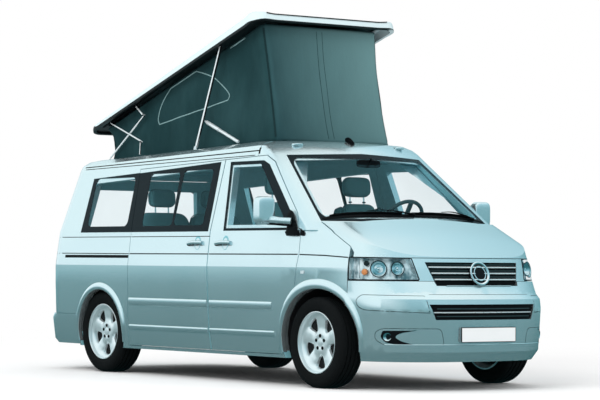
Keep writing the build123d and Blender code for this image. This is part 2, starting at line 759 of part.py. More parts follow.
# ---- wheels and knuckles ----
TYRE_PROFILE = ((RIM_RADIUS, -88), (262, -103), (300, -TYRE_WIDTH / 2), (325, -98), (TYRE_RADIUS, -80),
                (TYRE_RADIUS, 80), (325, 98), (300, TYRE_WIDTH / 2), (262, 103), (RIM_RADIUS, 88))
RIM_PROFILE = ((196, -80), (222, -100), (RIM_RADIUS - 0.5, -100), (RIM_RADIUS - 0.5, 100), (222, 100), (214, 96),
               (198, 60), (196, 40))
for label, axle_x, radius in wheels:
    for side_name, side in sides:
        hub = (axle_x, side * WHEEL_Y, AXLE_Z)
        turn = Axis(hub, (0, 1, 0))
        section = Plane(origin=hub, x_dir=(0, 0, 1), z_dir=(1, 0, 0))
        with BuildPart() as tyre:
            with BuildSketch(section):
                with BuildLine():
                    Polyline(*TYRE_PROFILE, close=True)
                make_face()
            revolve(axis=turn)
        save(tyre.part, f"tyre_{label}_{side_name}")
        face = Plane(origin=(axle_x, side * (WHEEL_Y + 30), AXLE_Z), x_dir=(1, 0, 0), z_dir=(0, side, 0))
        with BuildPart() as rim:
            with BuildSketch(section):
                with BuildLine():
                    Polyline(*[(r, side * y) for r, y in RIM_PROFILE], close=True)
                make_face()
            revolve(axis=turn)
            with BuildSketch(face):
                Circle(72)
                with PolarLocations(134, 5, start_angle=90):
                    Rectangle(134, 70)
            extrude(amount=34)
            with BuildSketch(face):
                Circle(60)
            extrude(amount=-40)
        save(rim.part, f"rim_{label}_{side_name}")

for side_name, side in sides:
    low, high = sorted((side * 650, side * (WHEEL_Y - 14)))
    with BuildPart() as knuckle:
        add(cross_tube(FRONT_AXLE_X, AXLE_Z, 55, low, high))
        with BuildSketch(Plane.XY.offset(292)):
            with Locations((FRONT_AXLE_X, side * 665)):
                Circle(30)
        extrude(amount=400)
    save(knuckle.part, f"knuckle_{side_name}")

# ---- pop-up roof: shell, canvas, struts, links and gas springs ----
tilt_up = radians(SHELL_TILT)
shell_side = Plane(origin=(SHELL_REAR_X, 0, SHELL_REAR_Z), x_dir=(cos(tilt_up), 0, sin(tilt_up)),
                   z_dir=(0, -1, 0))


def shell_plane(rise):
    """A plane parallel to the raised shell's rim, rise above it; its x runs from the rear tip forwards."""
    origin = (SHELL_REAR_X - rise * sin(tilt_up), 0, SHELL_REAR_Z + rise * cos(tilt_up))
    return Plane(origin=origin, x_dir=(cos(tilt_up), 0, sin(tilt_up)), z_dir=(-sin(tilt_up), 0, cos(tilt_up)))


with BuildPart() as roof_shell:
    with BuildSketch(shell_plane(-10)):
        with Locations((SHELL_LENGTH / 2, 0)):
            RectangleRounded(SHELL_LENGTH, 2 * SHELL_HALF, 120)
    extrude(amount=200)
    with BuildSketch(shell_side):
        with BuildLine():
            Polyline((0, 0), (SHELL_LENGTH, 0), (SHELL_LENGTH, SHELL_FRONT_THICK - 14),
                     (SHELL_LENGTH - 60, SHELL_FRONT_THICK), (90, SHELL_REAR_THICK + 2), (0, SHELL_REAR_THICK - 14),
                     close=True)
        make_face()
    extrude(amount=SHELL_HALF + 1, both=True, mode=Mode.INTERSECT)
    with BuildSketch(shell_side):
        with BuildLine():
            Polyline((SKIRT, -20), (SHELL_LENGTH - SKIRT, -20), (SHELL_LENGTH - SKIRT, SHELL_FRONT_THICK - SKIN - 8),
                     (SKIRT, SHELL_REAR_THICK - SKIN - 2), close=True)
        make_face()
    extrude(amount=SHELL_HALF - SKIRT, both=True, mode=Mode.SUBTRACT)
save(roof_shell.part, "roof_shell")

canvas_solids = []
for inset in (0, CLOTH):
    with BuildPart() as tent:
        with BuildSketch(roof_plane(ROOF_TOP_RISE + 1 - inset / 8)):
            with Locations(((CANVAS_BASE[0] + CANVAS_BASE[1]) / 2, 0)):
                RectangleRounded(CANVAS_BASE[1] - CANVAS_BASE[0] - 2 * inset, 2 * (CANVAS_BASE[2] - inset), 60 - inset)
        with BuildSketch(shell_plane(14 + inset / 8)):
            with Locations(((CANVAS_TOP[0] + CANVAS_TOP[1]) / 2, 0)):
                RectangleRounded(CANVAS_TOP[1] - CANVAS_TOP[0] - 2 * inset, 2 * (CANVAS_TOP[2] - inset), 60 - inset)
        loft(ruled=True)
    canvas_solids.append(tent.part)
save(canvas_solids[0] - canvas_solids[1], "canvas")


def bar(start, end, width, y_centre, thick):
    """A flat bar with rounded ends between two points (x, z), repeated on both sides."""
    length = ((end[0] - start[0]) ** 2 + (end[1] - start[1]) ** 2) ** 0.5
    along = (end[0] - start[0], 0, end[1] - start[1])
    solids = []
    for side in (1, -1):
        centre = ((start[0] + end[0]) / 2, side * (y_centre - thick / 2), (start[1] + end[1]) / 2)
        with BuildPart() as link:
            with BuildSketch(Plane(origin=centre, x_dir=along, z_dir=(0, side, 0))):
                SlotCenterToCenter(length, width)
            extrude(amount=thick)
        solids.append(link.part)
    return Compound(children=solids)


def on_roof(x):
    """A pivot on the roof frame at x."""
    return (x, roof_z(x) + PIVOT_RISE)


STRUT = (on_roof(-450), (-104, 2668))
LONG_LINK = (on_roof(-1853), (-1315, 2157))
LONG_ELBOW = (LONG_LINK[1], (-1430, 2237))
SHORT_LINK = ((-1818, 2111), (-1309, 1932))
SHORT_ELBOW = (on_roof(-1318), SHORT_LINK[1])
save(bar(*STRUT, 20, 652, 14), "roof_struts")
save(bar(*LONG_LINK, 12, 604, LINK_THICK), "rear_long_links")
save(bar(*LONG_ELBOW, 12, 617, LINK_THICK), "rear_long_elbows")
save(bar(*SHORT_LINK, 12, 630, LINK_THICK), "rear_short_links")
save(bar(*SHORT_ELBOW, 12, 643, LINK_THICK), "rear_short_elbows")

# gas springs: a tube hinged on the roof frame and a rod that slides in it and holds the strut
spring_base = on_roof(112)
spring_eye = (-362, 2066)
spring_length = ((spring_eye[0] - spring_base[0]) ** 2 + (spring_eye[1] - spring_base[1]) ** 2) ** 0.5
spring_along = (spring_eye[0] - spring_base[0], 0, spring_eye[1] - spring_base[1])
tubes = []
rods = []
for side in (1, -1):
    base = Plane(origin=(spring_base[0], side * SPRING_Y, spring_base[1]), x_dir=(0, 1, 0), z_dir=spring_along)
    with BuildPart() as tube:
        with BuildSketch(base):
            Circle(SPRING_TUBE_RADIUS)
        extrude(amount=SPRING_TUBE_LENGTH)
        with BuildSketch(base.offset(12)):
            Circle(SPRING_BORE_RADIUS)
        extrude(amount=SPRING_TUBE_LENGTH, mode=Mode.SUBTRACT)
    tubes.append(tube.part)
    with BuildPart() as rod:
        with BuildSketch(base.offset(SPRING_ROD_START)):
            Circle(SPRING_ROD_RADIUS)
        extrude(amount=spring_length - SPRING_ROD_START)
    rods.append(rod.part)
save(Compound(children=tubes), "spring_tubes")
save(Compound(children=rods), "spring_rods")

# ---- small parts ----
for label, x, z in (("front_plate", 2437, FRONT_PLATE_Z), ("rear_plate", -2408, 800)):
    with BuildPart() as plate:
        with BuildSketch(Plane.YZ.offset(x)):
            with Locations((0, z)):
                RectangleRounded(PLATE_LENGTH, PLATE_HEIGHT, 12)
        extrude(amount=8)
    save(plate.part, label)

for side_name, side in sides:
    x0, x1, y0, y1, z0, z1 = MIRROR_HOUSING
    with BuildPart() as mirror:
        add(block(x0, x1, *sorted((side * y0, side * y1)), z0, z1, 40))
        add(plan_prism([(x, side * y) for x, y in MIRROR_ARM], z0, z0 + 34))
    save(mirror.part, f"mirror_{side_name}")
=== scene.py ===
import math
from functools import partial

import bmesh
import bpy
from mathutils import Matrix, Vector
from mathutils.bvhtree import BVHTree


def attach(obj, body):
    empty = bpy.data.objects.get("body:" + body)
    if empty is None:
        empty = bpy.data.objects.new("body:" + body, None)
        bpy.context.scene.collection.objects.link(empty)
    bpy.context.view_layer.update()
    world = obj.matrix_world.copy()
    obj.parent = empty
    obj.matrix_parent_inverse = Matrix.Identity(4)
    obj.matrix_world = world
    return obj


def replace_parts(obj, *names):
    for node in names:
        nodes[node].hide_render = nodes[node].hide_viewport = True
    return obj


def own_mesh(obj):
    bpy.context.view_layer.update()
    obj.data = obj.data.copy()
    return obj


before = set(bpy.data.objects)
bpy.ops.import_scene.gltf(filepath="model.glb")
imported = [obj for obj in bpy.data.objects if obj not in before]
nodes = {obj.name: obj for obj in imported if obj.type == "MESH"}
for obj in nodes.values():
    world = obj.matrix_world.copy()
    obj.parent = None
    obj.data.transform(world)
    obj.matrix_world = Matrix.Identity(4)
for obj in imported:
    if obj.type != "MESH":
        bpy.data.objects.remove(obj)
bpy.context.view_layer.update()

# ---------------------------------------------------------------- camera
CAMERA_AT = Vector((16.04, -11.64, 0.94))
YAW, PITCH, ROLL = (math.radians(a) for a in (53.88, 1.43, 0.42))
FOCAL_PIXELS, PHOTO_WIDTH, SENSOR_WIDTH = 2439, 600, 36
forward = Vector((-math.sin(YAW) * math.cos(PITCH), math.cos(YAW) * math.cos(PITCH), math.sin(PITCH)))
right = forward.cross(Vector((0, 0, 1))).normalized()
up = right.cross(forward)
tilted_right = math.cos(ROLL) * right + math.sin(ROLL) * up
tilted_up = tilted_right.cross(forward)
camera_data = bpy.data.cameras.new("camera")
camera_data.sensor_width = SENSOR_WIDTH
camera_data.lens = FOCAL_PIXELS / PHOTO_WIDTH * SENSOR_WIDTH
camera = bpy.data.objects.new("camera", camera_data)
bpy.context.scene.collection.objects.link(camera)
camera.matrix_world = Matrix((
    (tilted_right.x, tilted_up.x, -forward.x, CAMERA_AT.x),
    (tilted_right.y, tilted_up.y, -forward.y, CAMERA_AT.y),
    (tilted_right.z, tilted_up.z, -forward.z, CAMERA_AT.z),
    (0, 0, 0, 1)))
bpy.context.scene.camera = camera
bpy.context.scene.view_settings.view_transform = "Standard"


# ---------------------------------------------------------------- material kit
class Shader:
    """Small helper around the node tree of a material, or of a world."""

    def __init__(self, name, world=None):
        self.material = world or bpy.data.materials.new(name)
        self.material.use_nodes = True
        self.tree = self.material.node_tree
        self.tree.nodes.clear()
        self.out = self.node("OutputWorld" if world else "OutputMaterial")
        self.place = self.node("TexCoord").outputs["Generated" if world else "Object"]
        split = self.node("SeparateXYZ")
        self.feed(split.inputs[0], self.place)
        self.x, self.y, self.z = split.outputs

    def node(self, kind, **values):
        made = self.tree.nodes.new("ShaderNode" + kind)
        for key, value in values.items():
            setattr(made, key, value)
        return made

    def feed(self, socket, value):
        if isinstance(value, bpy.types.NodeSocket):
            self.tree.links.new(value, socket)
        elif value is not None:
            socket.default_value = value
        return socket

    def math(self, operation, a, b=None, c=None, clamp=False):
        made = self.node("Math", operation=operation, use_clamp=clamp)
        for socket, value in zip(made.inputs, (a, b, c)):
            self.feed(socket, value)
        return made.outputs[0]

    def noise(self, scale, detail=3.0, roughness=0.5, vector=None, stretch=None):
        made = self.node("TexNoise")
        source = vector or self.place
        if stretch:
            mapping = self.node("Mapping")
            mapping.inputs["Scale"].default_value = stretch
            self.feed(mapping.inputs["Vector"], source)
            source = mapping.outputs[0]
        self.feed(made.inputs["Vector"], source)
        made.inputs["Scale"].default_value = scale
        made.inputs["Detail"].default_value = detail
        made.inputs["Roughness"].default_value = roughness
        return made.outputs["Fac"]

    def span(self, value, low, high, to_low=0.0, to_high=1.0, smooth=True):
        made = self.node("MapRange", interpolation_type="SMOOTHSTEP" if smooth else "LINEAR")
        for socket, item in zip(made.inputs, (value, low, high, to_low, to_high)):
            self.feed(socket, item)
        return made.outputs[0]

    def mix(self, factor, a, b):
        made = self.node("Mix", data_type="RGBA")
        self.feed(made.inputs["Factor"], factor)
        self.feed(made.inputs["A"], a)
        self.feed(made.inputs["B"], b)
        return made.outputs["Result"]

    def bump(self, height, distance, strength=1.0, normal=None):
        made = self.node("Bump")
        made.inputs["Strength"].default_value = strength
        made.inputs["Distance"].default_value = distance
        self.feed(made.inputs["Height"], height)
        if normal is not None:
            self.feed(made.inputs["Normal"], normal)
        return made.outputs[0]

    def surface(self, **values):
        made = self.node("BsdfPrincipled")
        for key, value in values.items():
            self.feed(made.inputs[key.replace("_", " ")], value)
        return made.outputs[0]

    def blend(self, factor, a, b):
        made = self.node("MixShader")
        self.feed(made.inputs[0], factor)
        self.feed(made.inputs[1], a)
        self.feed(made.inputs[2], b)
        return made.outputs[0]

    def done(self, shader):
        self.tree.links.new(shader, self.out.inputs["Surface"])
        return self.material

    def inside(self, centre, half, radius, shear=0.0, along="x", soft=0.002):
        """1 inside a rounded rectangle in the side (x, z) or end (y, z) view, its sides leaning by shear."""
        u = self.x if along == "x" else self.math("ABSOLUTE", self.y) if along == "|y|" else self.y
        u = self.math("ADD", u, self.math("MULTIPLY", self.math("SUBTRACT", self.z, centre[1]), shear))
        qu = self.math("ADD", self.math("ABSOLUTE", self.math("SUBTRACT", u, centre[0])), radius - half[0])
        qv = self.math("ADD", self.math("ABSOLUTE", self.math("SUBTRACT", self.z, centre[1])), radius - half[1])
        outside = self.math("SQRT", self.math("ADD", self.math("POWER", self.math("MAXIMUM", qu, 0.0), 2.0),
                                              self.math("POWER", self.math("MAXIMUM", qv, 0.0), 2.0)))
        inner = self.math("MINIMUM", self.math("MAXIMUM", qu, qv), 0.0)
        distance = self.math("SUBTRACT", self.math("ADD", outside, inner), radius)
        return self.span(distance, -soft, soft, 1.0, 0.0)


CREASE_HEIGHT = 0.893


def paint(name, colour=(0.72, 0.865, 0.9), metallic=0.86):
    """Metallic lacquer; the shallow crease along the sides is a bump that follows the height."""
    s = Shader(name)
    flakes = s.noise(900, 2)
    cloud = s.noise(1.3, 2)
    tone = s.mix(s.span(flakes, 0.35, 0.65), (*[c * 0.95 for c in colour], 1), (*[min(c * 1.04, 1) for c in colour],
        1))
    above = s.math("MULTIPLY", s.math("MAXIMUM", s.math("SUBTRACT", s.z, CREASE_HEIGHT), 0.0), -0.05)
    below = s.math("MULTIPLY", s.math("MINIMUM", s.math("SUBTRACT", s.z, CREASE_HEIGHT), 0.0), 0.055)
    fade = s.math("MULTIPLY", s.span(s.x, 1.6, 1.95, 1.0, 0.0), s.span(s.x, -2.35, -2.15))
    crease = s.bump(s.math("MULTIPLY", s.math("ADD", above, below), fade), 1.0)
    peel = s.bump(s.noise(260, 2), 0.00002, 0.5, normal=crease)
    return s.done(s.surface(Base_Color=tone, Metallic=metallic, Normal=crease, Coat_Weight=1.0, Coat_Roughness=0.03,
                            Roughness=s.span(cloud, 0.3, 0.7, 0.2, 0.24), Coat_Normal=peel))


def plastic(name, colour, rough=0.5, grain=0.00005, scale=700, coat=0.0, gloss=0.25):
    s = Shader(name)
    tone = s.mix(s.noise(40, 4), (*[c * 0.85 for c in colour], 1), (*[c * 1.15 for c in colour], 1))
    return s.done(s.surface(Base_Color=tone, Roughness=s.span(s.noise(60, 3), 0.3, 0.7, rough - 0.05, rough + 0.05),
                            Normal=s.bump(s.noise(scale, 3), grain), Coat_Weight=coat, Coat_Roughness=0.06,
                            Specular_IOR_Level=gloss))


def metal(name, colour, rough=0.25, metallic=1.0):
    s = Shader(name)
    tone = s.mix(s.noise(30, 4), (*[c * 0.96 for c in colour], 1), (*colour, 1))
    return s.done(s.surface(Base_Color=tone, Metallic=metallic,
                            Roughness=s.span(s.noise(80, 3), 0.3, 0.7, rough * 0.9, rough * 1.1)))


def clear_glass(name, tint=(0.975, 0.995, 1.0), shade=None, mirror=(0.3, 0.62, 0.7)):
    """Thin tinted glass: see-through with a mirror film; shade(s) gives the black printed border."""
    s = Shader(name)
    fresnel = s.node("Fresnel")
    fresnel.inputs["IOR"].default_value = 1.5
    through = s.node("BsdfTransparent")
    s.feed(through.inputs[0], s.mix(s.noise(3, 2), (*tint, 1), (*[t * 0.97 for t in tint], 1)))
    gloss = s.node("BsdfGlossy")
    s.feed(gloss.inputs["Color"], (*mirror, 1))
    s.feed(gloss.inputs["Roughness"], s.span(s.noise(5, 2), 0.0, 1.0, 0.0, 0.02))
    back = s.node("NewGeometry").outputs["Backfacing"]
    share = s.math("MULTIPLY", s.math("MULTIPLY", fresnel.outputs[0], 0.7), s.math("SUBTRACT", 1.0, back))
    pane = s.blend(share, through.outputs[0], gloss.outputs[0])
    if shade:
        border = s.surface(Base_Color=s.mix(s.noise(50, 3), (0.004, 0.01, 0.013, 1), (0.007, 0.014, 0.018, 1)),
                           Roughness=0.15, Specular_IOR_Level=0.05)
        pane = s.blend(shade(s), pane, border)
    return s.done(pane)


# ---------------------------------------------------------------- stage and light
world = bpy.data.worlds.new("studio")
bpy.context.scene.world = world
w = Shader("studio", world)
LOWEST, HIGHEST = -0.3, 1.0
elevation = w.span(w.z, LOWEST, HIGHEST, smooth=False)


def sky(stops):
    """A colour ramp over the sine of the elevation."""
    ramp = w.node("ValToRGB")
    elements = ramp.color_ramp.elements
    for i, (sine, colour) in enumerate(stops):
        place = (sine - LOWEST) / (HIGHEST - LOWEST)
        stop = elements[i] if i < 2 else elements.new(place)
        stop.position = place
        stop.color = (*colour, 1)
    w.feed(ramp.inputs[0], elevation)
    return ramp.outputs[0]


side_sky = sky(((-0.3, (0.05, 0.13, 0.15)), (1.0, (0.75, 0.9, 0.95)), (-0.05, (0.16, 0.34, 0.38)),
                (0.01, (0.26, 0.47, 0.52)), (0.07, (0.84, 0.96, 1.0)), (0.5, (0.9, 1.0, 1.0))))
front_sky = sky(((-0.3, (0.03, 0.09, 0.1)), (1.0, (0.9, 1.0, 1.0)), (-0.02, (0.1, 0.27, 0.3)),
                 (0.03, (0.13, 0.34, 0.38)), (0.3, (0.26, 0.5, 0.57)), (0.6, (0.5, 0.76, 0.84)),
                 (0.82, (0.95, 1.0, 1.0))))
turn = w.node("VectorMath", operation="DOT_PRODUCT")
w.feed(turn.inputs[0], w.place)
w.feed(turn.inputs[1], (-0.707, -0.707, 0.0))
reflected, white = w.node("Background"), w.node("Background")
w.feed(reflected.inputs[0], w.mix(w.span(turn.outputs["Value"], -0.1, 0.6, smooth=False), front_sky, side_sky))
w.feed(white.inputs[0], (1, 1, 1, 1))
w.done(w.blend(w.node("LightPath").outputs["Is Glossy Ray"], white.outputs[0], reflected.outputs[0]))

s = Shader("floor_white")
pale = s.node("BsdfDiffuse")
s.feed(pale.inputs[0], s.mix(s.noise(2, 2), (0.93, 0.93, 0.93, 1), (0.95, 0.95, 0.95, 1)))
# Seen only by glossy rays, the floor glows dark teal, lighter with distance: a painted reflection that darkens the
# van's lower sides.
reflected_floor_glow = s.node("Emission")
reach = s.math("SQRT", s.math("ADD", s.math("POWER", s.x, 2.0), s.math("POWER", s.y, 2.0)))
s.feed(reflected_floor_glow.inputs[0], s.mix(s.span(reach, 2.0, 34.0, smooth=False), (0.028, 0.122, 0.132, 1), (0.2, 0.45, 0.49, 1)))
seen = s.node("LightPath")
far_white = s.node("Emission")
s.feed(far_white.inputs[0], (1, 1, 1, 1))
ground = s.blend(s.span(reach, 4.5, 9.0), pale.outputs[0], far_white.outputs[0])
floor_material = s.done(s.blend(seen.outputs["Is Glossy Ray"], ground, reflected_floor_glow.outputs[0]))
floor_mesh = bpy.data.meshes.new("floor")
floor_mesh.from_pydata([(-60, -60, 0), (60, -60, 0), (60, 60, 0), (-60, 60, 0)], [], [(0, 1, 2, 3)])
floor_mesh.materials.append(floor_material)
floor = bpy.data.objects.new("floor", floor_mesh)
bpy.context.scene.collection.objects.link(floor)


def softbox(name, at, to, size, power):
    data = bpy.data.lights.new(name, "AREA")
    data.shape = "RECTANGLE"
    data.size, data.size_y = size
    data.energy = power
    lamp = bpy.data.objects.new(name, data)
    bpy.context.scene.collection.objects.link(lamp)
    lamp.location = at
    lamp.rotation_euler = (Vector(to) - Vector(at)).to_track_quat("-Z", "Y").to_euler()
    lamp.visible_glossy = False


softbox("key", (4, -9, 8), (0, 0, 1), (8, 4), 500)

# ---------------------------------------------------------------- finishes
body_paint = paint("silver_paint")
black_plastic = plastic("black_plastic", (0.003, 0.004, 0.005), 0.45, gloss=0.06)
gloss_black = plastic("gloss_black", (0.004, 0.005, 0.006), 0.15, 0.0, 100, gloss=0.12)
dark_trim = plastic("dark_trim", (0.02, 0.05, 0.056), 0.55)
# The lining colour is raised to stand in for the light inside the van, so it is partly painted light.
lining = plastic("lining", (0.22, 0.5, 0.56), 0.8, 0.0003, 300, gloss=0.1)
under_black = plastic("underbody_black", (0.01, 0.011, 0.012), 0.7, gloss=0.1)
tyre_rubber = plastic("tyre_rubber", (0.0045, 0.0055, 0.006), 0.7, 0.0002, 400, gloss=0.08)
alloy = metal("alloy", (0.86, 0.94, 0.96), 0.32, 0.75)
bright = metal("bright_aluminium", (0.9, 0.96, 0.98), 0.3, 0.7)
chrome = metal("chrome", (0.95, 0.98, 1.0), 0.08)
cast_iron = metal("cast_metal", (0.06, 0.06, 0.065), 0.6)
glass = clear_glass("window_glass")
lens = clear_glass("lamp_lens", (0.97, 0.985, 0.99))
amber = plastic("amber_lens", (0.6, 0.22, 0.06), 0.2, 0.0, 100, 0.6)
red_lens = plastic("red_lens", (0.35, 0.01, 0.012), 0.12, 0.0, 100, 1.0)
board = plastic("cabinet_board", (0.2, 0.3, 0.31), 0.5)
plate_white = plastic("plate_white", (0.88, 0.9, 0.91), 0.3)


def cloth(name, dark, light):
    """Proofed cloth: a fine weave and faint creases, with painted light: the panel that faces forward is lighter,
    more so towards the far side and the top.
    """
    s = Shader(name)
    weave = s.math("MULTIPLY", s.noise(420, 2, stretch=(1, 1, 0.35)), s.noise(420, 2, stretch=(0.35, 0.35, 1)))
    creases = s.noise(2.2, 4, 0.6, stretch=(1, 1, 0.45))
    geometry = s.node("NewGeometry")
    facing = s.node("SeparateXYZ")
    s.feed(facing.inputs[0], geometry.outputs["Normal"])
    # painted light: cloth that faces forward takes the lit colour, lighter towards the far side and the top; other
    # cloth stays dark.
    front = s.span(facing.outputs["X"], 0.55, 0.9)
    over = s.span(s.y, -0.6, 0.6, smooth=False)
    high = s.span(s.z, 1.9, 2.8, smooth=False)
    painted_light = s.math("ADD", s.math("MULTIPLY", over, s.math("ADD", s.math("MULTIPLY", high, 0.22), 0.7)),
                  s.math("MULTIPLY", high, 0.04))
    tone = s.mix(front, (*dark, 1), s.mix(painted_light, (0.013, 0.046, 0.054, 1), (*light, 1)))
    tone = s.mix(s.math("MULTIPLY", s.span(creases, 0.3, 0.75), 0.25), tone, s.mix(0.5, tone, (0.1, 0.24, 0.26, 1)))
    rumple = s.bump(creases, 0.05, 0.5)
    return s.done(s.surface(Base_Color=tone, Roughness=0.9, Specular_IOR_Level=0.08,
                            Normal=s.bump(weave, 0.0012, 0.5, normal=rumple)))


canvas_cloth = cloth("canvas_cloth", (0.01, 0.036, 0.04), (0.15, 0.29, 0.3))
canvas_seam = plastic("canvas_seam", (0.01, 0.028, 0.031), 0.85, 0.0002, 500, gloss=0.05)

FINISHES = ((glass, "door_glass_left door_glass_right side_glass tailgate_glass windscreen"),
    (canvas_cloth, "canvas"), (cast_iron, "engine_block knuckle_left knuckle_right subframes tank_and_exhaust"),
    (chrome, "headlamps"),
    (bright,
    "rear_long_links rear_short_links rear_long_elbows rear_short_elbows spring_tubes spring_rods roof_struts"),
    (under_black, "floor_pan sill_beams wheelhouses"), (plate_white, "front_plate rear_plate"),
    (dark_trim, "dashboard steering_wheel roof_shell front_seats rear_bench"), (black_plastic, "grilles"),
    (board, "kitchen_cabinet"), (red_lens, "tail_lamps"),
    (tyre_rubber, "tyre_front_left tyre_front_right tyre_rear_left tyre_rear_right"),
    (alloy, "rim_front_left rim_front_right rim_rear_left rim_rear_right"))
finish_of = {name: finish for finish, names in FINISHES for name in names.split()}
for name, node in nodes.items():
    finish = finish_of.get(name, body_paint)
    node.data.materials.clear()
    node.data.materials.append(finish)
    node.data.polygons.foreach_set("use_smooth", [True] * len(node.data.polygons))
    node.data.polygons.foreach_set("material_index", [0] * len(node.data.polygons))
    if finish is body_paint and name not in ("front_bumper", "rear_bumper", "front_plate", "grille_surround"):
        node.data.materials.append(lining)
        inner = [int(p.normal.dot(p.center - Vector((max(-1.9, min(1.0, p.center.x)), 0, 1.1))) < 0
                     and not (p.normal.x > 0.8 and 1.8 < p.center.x < 1.9 and p.center.z > 0.9))
                 for p in node.data.polygons]
        node.data.polygons.foreach_set("material_index", inner)
    weld = node.modifiers.new("weld", "WELD")
    weld.merge_threshold = 0.00002
    split = node.modifiers.new("split", "EDGE_SPLIT")
    split.split_angle = math.radians(25)

# ---------------------------------------------------------------- mesh kit
def tree_of(names):
    points, faces = [], []
    for name in names:
        start = len(points)
        mesh = nodes[name].data
        points += [v.co.copy() for v in mesh.vertices]
        faces += [[start + i for i in p.vertices] for p in mesh.polygons]
    return BVHTree.FromPolygons(points, faces)


skin = tree_of(("side_left side_right sliding_door side_glass front_door_left front_door_right door_glass_left "
                "door_glass_right front_wings screen_frame front_cap roof_frame windscreen bonnet grille_surround "
                "grilles headlamps tail_lamps front_bumper rear_bumper tailgate tailgate_glass").split())


GAP_REACH = 0.012      # how far beside a ray the skin is looked for, to bridge the gaps between panels
SAME_SKIN = 0.02       # hits within this distance of the nearest one are on the same skin


def cast(origin, direction, tree=skin):
    """First point of the skin along a ray, bridging the gaps between panels, with its outward normal."""
    direction = Vector(direction).normalized()
    origin = Vector(origin)
    side = direction.orthogonal().normalized() * GAP_REACH
    other = direction.cross(side)
    hits = []
    for shift in (Vector(), side, -side, other, -other):
        where, normal, _, distance = tree.ray_cast(origin + shift, direction)
        if where is not None:
            hits.append((distance, normal, shift.length))
    if not hits:
        raise ValueError(f"no skin along {origin} {direction}")
    nearest = min(h[0] for h in hits)
    near = [h for h in hits if h[0] < nearest + SAME_SKIN]
    near = [h for h in near if h[2] == 0] or near
    distance = sum(h[0] for h in near) / len(near)
    normal = sum((h[1] if h[1].dot(direction) < 0 else -h[1] for h in near), Vector()).normalized()
    return origin + direction * distance, normal


def on_side(side, x, z):
    return cast((x, side * 2, z), (0, -side, 0))


def on_front(y, z):
    return cast((4, y, z), (-1, 0, 0))


def on_back(y, z):
    return cast((-4, y, z), (1, 0, 0))


def across(half, count):
    """Even steps from -half to half."""
    return [half * (k / count - 1) for k in range(2 * count + 1)]


def resample(points, step, closed=False):
    """Points along a polyline at about equal steps."""
    points = [Vector(p) for p in points]
    if closed:
        points.append(points[0])
    result = []
    for a, b in zip(points, points[1:]):
        count = max(1, round((b - a).length / step))
        result += [a.lerp(b, i / count) for i in range(count)]
    if not closed:
        result.append(points[-1])
    return result


def rounded(points, radius, count=5):
    """A closed 2-D outline with its corners rounded; radius is one value or one a corner."""
    radii = radius if isinstance(radius, (list, tuple)) else [radius] * len(points)
    points = [Vector(p) for p in points]
    result = []
    for i, corner in enumerate(points):
        before, after = points[i - 1] - corner, points[(i + 1) % len(points)] - corner
        reach = min(radii[i], before.length * 0.48, after.length * 0.48)
        start, end = corner + before.normalized() * reach, corner + after.normalized() * reach
        for k in range(count + 1):
            t = k / count
            result.append(start * (1 - t) ** 2 + corner * 2 * t * (1 - t) + end * t ** 2)
    return result


def make(name, points, faces, material, body="body", slot=None, bevel=0.0, split=40):
    """A piece from points and faces, welded and shaded smooth up to the split angle; it rides a body."""
    mesh = bpy.data.meshes.new(name)
    mesh.from_pydata([tuple(p) for p in points], [], [tuple(f) for f in faces])
    bm = bmesh.new()
    bm.from_mesh(mesh)
    bmesh.ops.remove_doubles(bm, verts=bm.verts, dist=0.00001)
    bmesh.ops.recalc_face_normals(bm, faces=bm.faces)
    bm.to_mesh(mesh)
    bm.free()
    mesh.materials.append(material)
    piece = bpy.data.objects.new(name, mesh)
    bpy.context.scene.collection.objects.link(piece)
    if bevel:
        made = piece.modifiers.new("bevel", "BEVEL")
        made.width, made.segments, made.limit_method = bevel, 2, "ANGLE"
    mesh.polygons.foreach_set("use_smooth", [True] * len(mesh.polygons))
    made = piece.modifiers.new("split", "EDGE_SPLIT")
    made.split_angle = math.radians(split)
    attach(piece, body)
    return piece


def lattice(rows, ring, loop=False, open_ring=False):
    """Faces between neighbouring rings of points; loop joins the last ring to the first."""
    faces = []
    for i in range(rows if loop else rows - 1):
        j = (i + 1) % rows
        for k in range(ring - 1 if open_ring else ring):
            m = (k + 1) % ring
            faces.append((i * ring + k, i * ring + m, j * ring + m, j * ring + k))
    return faces


def end_faces(rows, ring):
    return [tuple(range(ring)), tuple((rows - 1) * ring + k for k in reversed(range(ring)))]


def sweep(name, samples, profile, material, body="body", closed=False, **extra):
    """A profile (across, out) carried along surface samples (point, normal)."""
    points = []
    count, ring = len(samples), len(profile)
    for i, (place, normal) in enumerate(samples):
        before = samples[i - 1][0] if i or closed else place
        after = samples[(i + 1) % count][0] if i < count - 1 or closed else place
        along = (after - before).normalized()
        beside = along.cross(normal).normalized()
        points += [place + beside * a + normal * o for a, o in profile]
    faces = lattice(count, ring, closed) + ([] if closed else end_faces(count, ring))
    return make(name, points, faces, material, body, **extra)


def strip(name, samples, width, material, body="body", height=0.0006, closed=False, slot=None, sink=0.004):
    return sweep(name, samples, [(-width / 2, -sink), (-width / 2, height), (width / 2, height),
        (width / 2, -sink)], material, body, closed, slot=slot)


def bead(name, samples, width, height, material, body="body", closed=False, sink=0.002):
    """A domed strip."""
    arc = [(width / 2 * math.cos(a * math.pi / 6), height * math.sin(a * math.pi / 6)) for a in range(7)]
    return sweep(name, samples, arc + [(-width / 2, -sink), (width / 2, -sink)], material, body, closed)


def turned(name, profile, centre, axis, material, body="body", count=40, **extra):
    """A closed profile (radius, along) turned about any axis."""
    axis = Vector(axis).normalized()
    a = axis.orthogonal().normalized()
    b = axis.cross(a)
    points = []
    for i in range(count):
        angle = 2 * math.pi * i / count
        for radius, along in profile:
            points.append(Vector(centre) + (a * math.cos(angle) + b * math.sin(angle)) * radius + axis * along)
    return make(name, points, lattice(count, len(profile), True), material, body, **extra)


DOME_REACH = 0.03


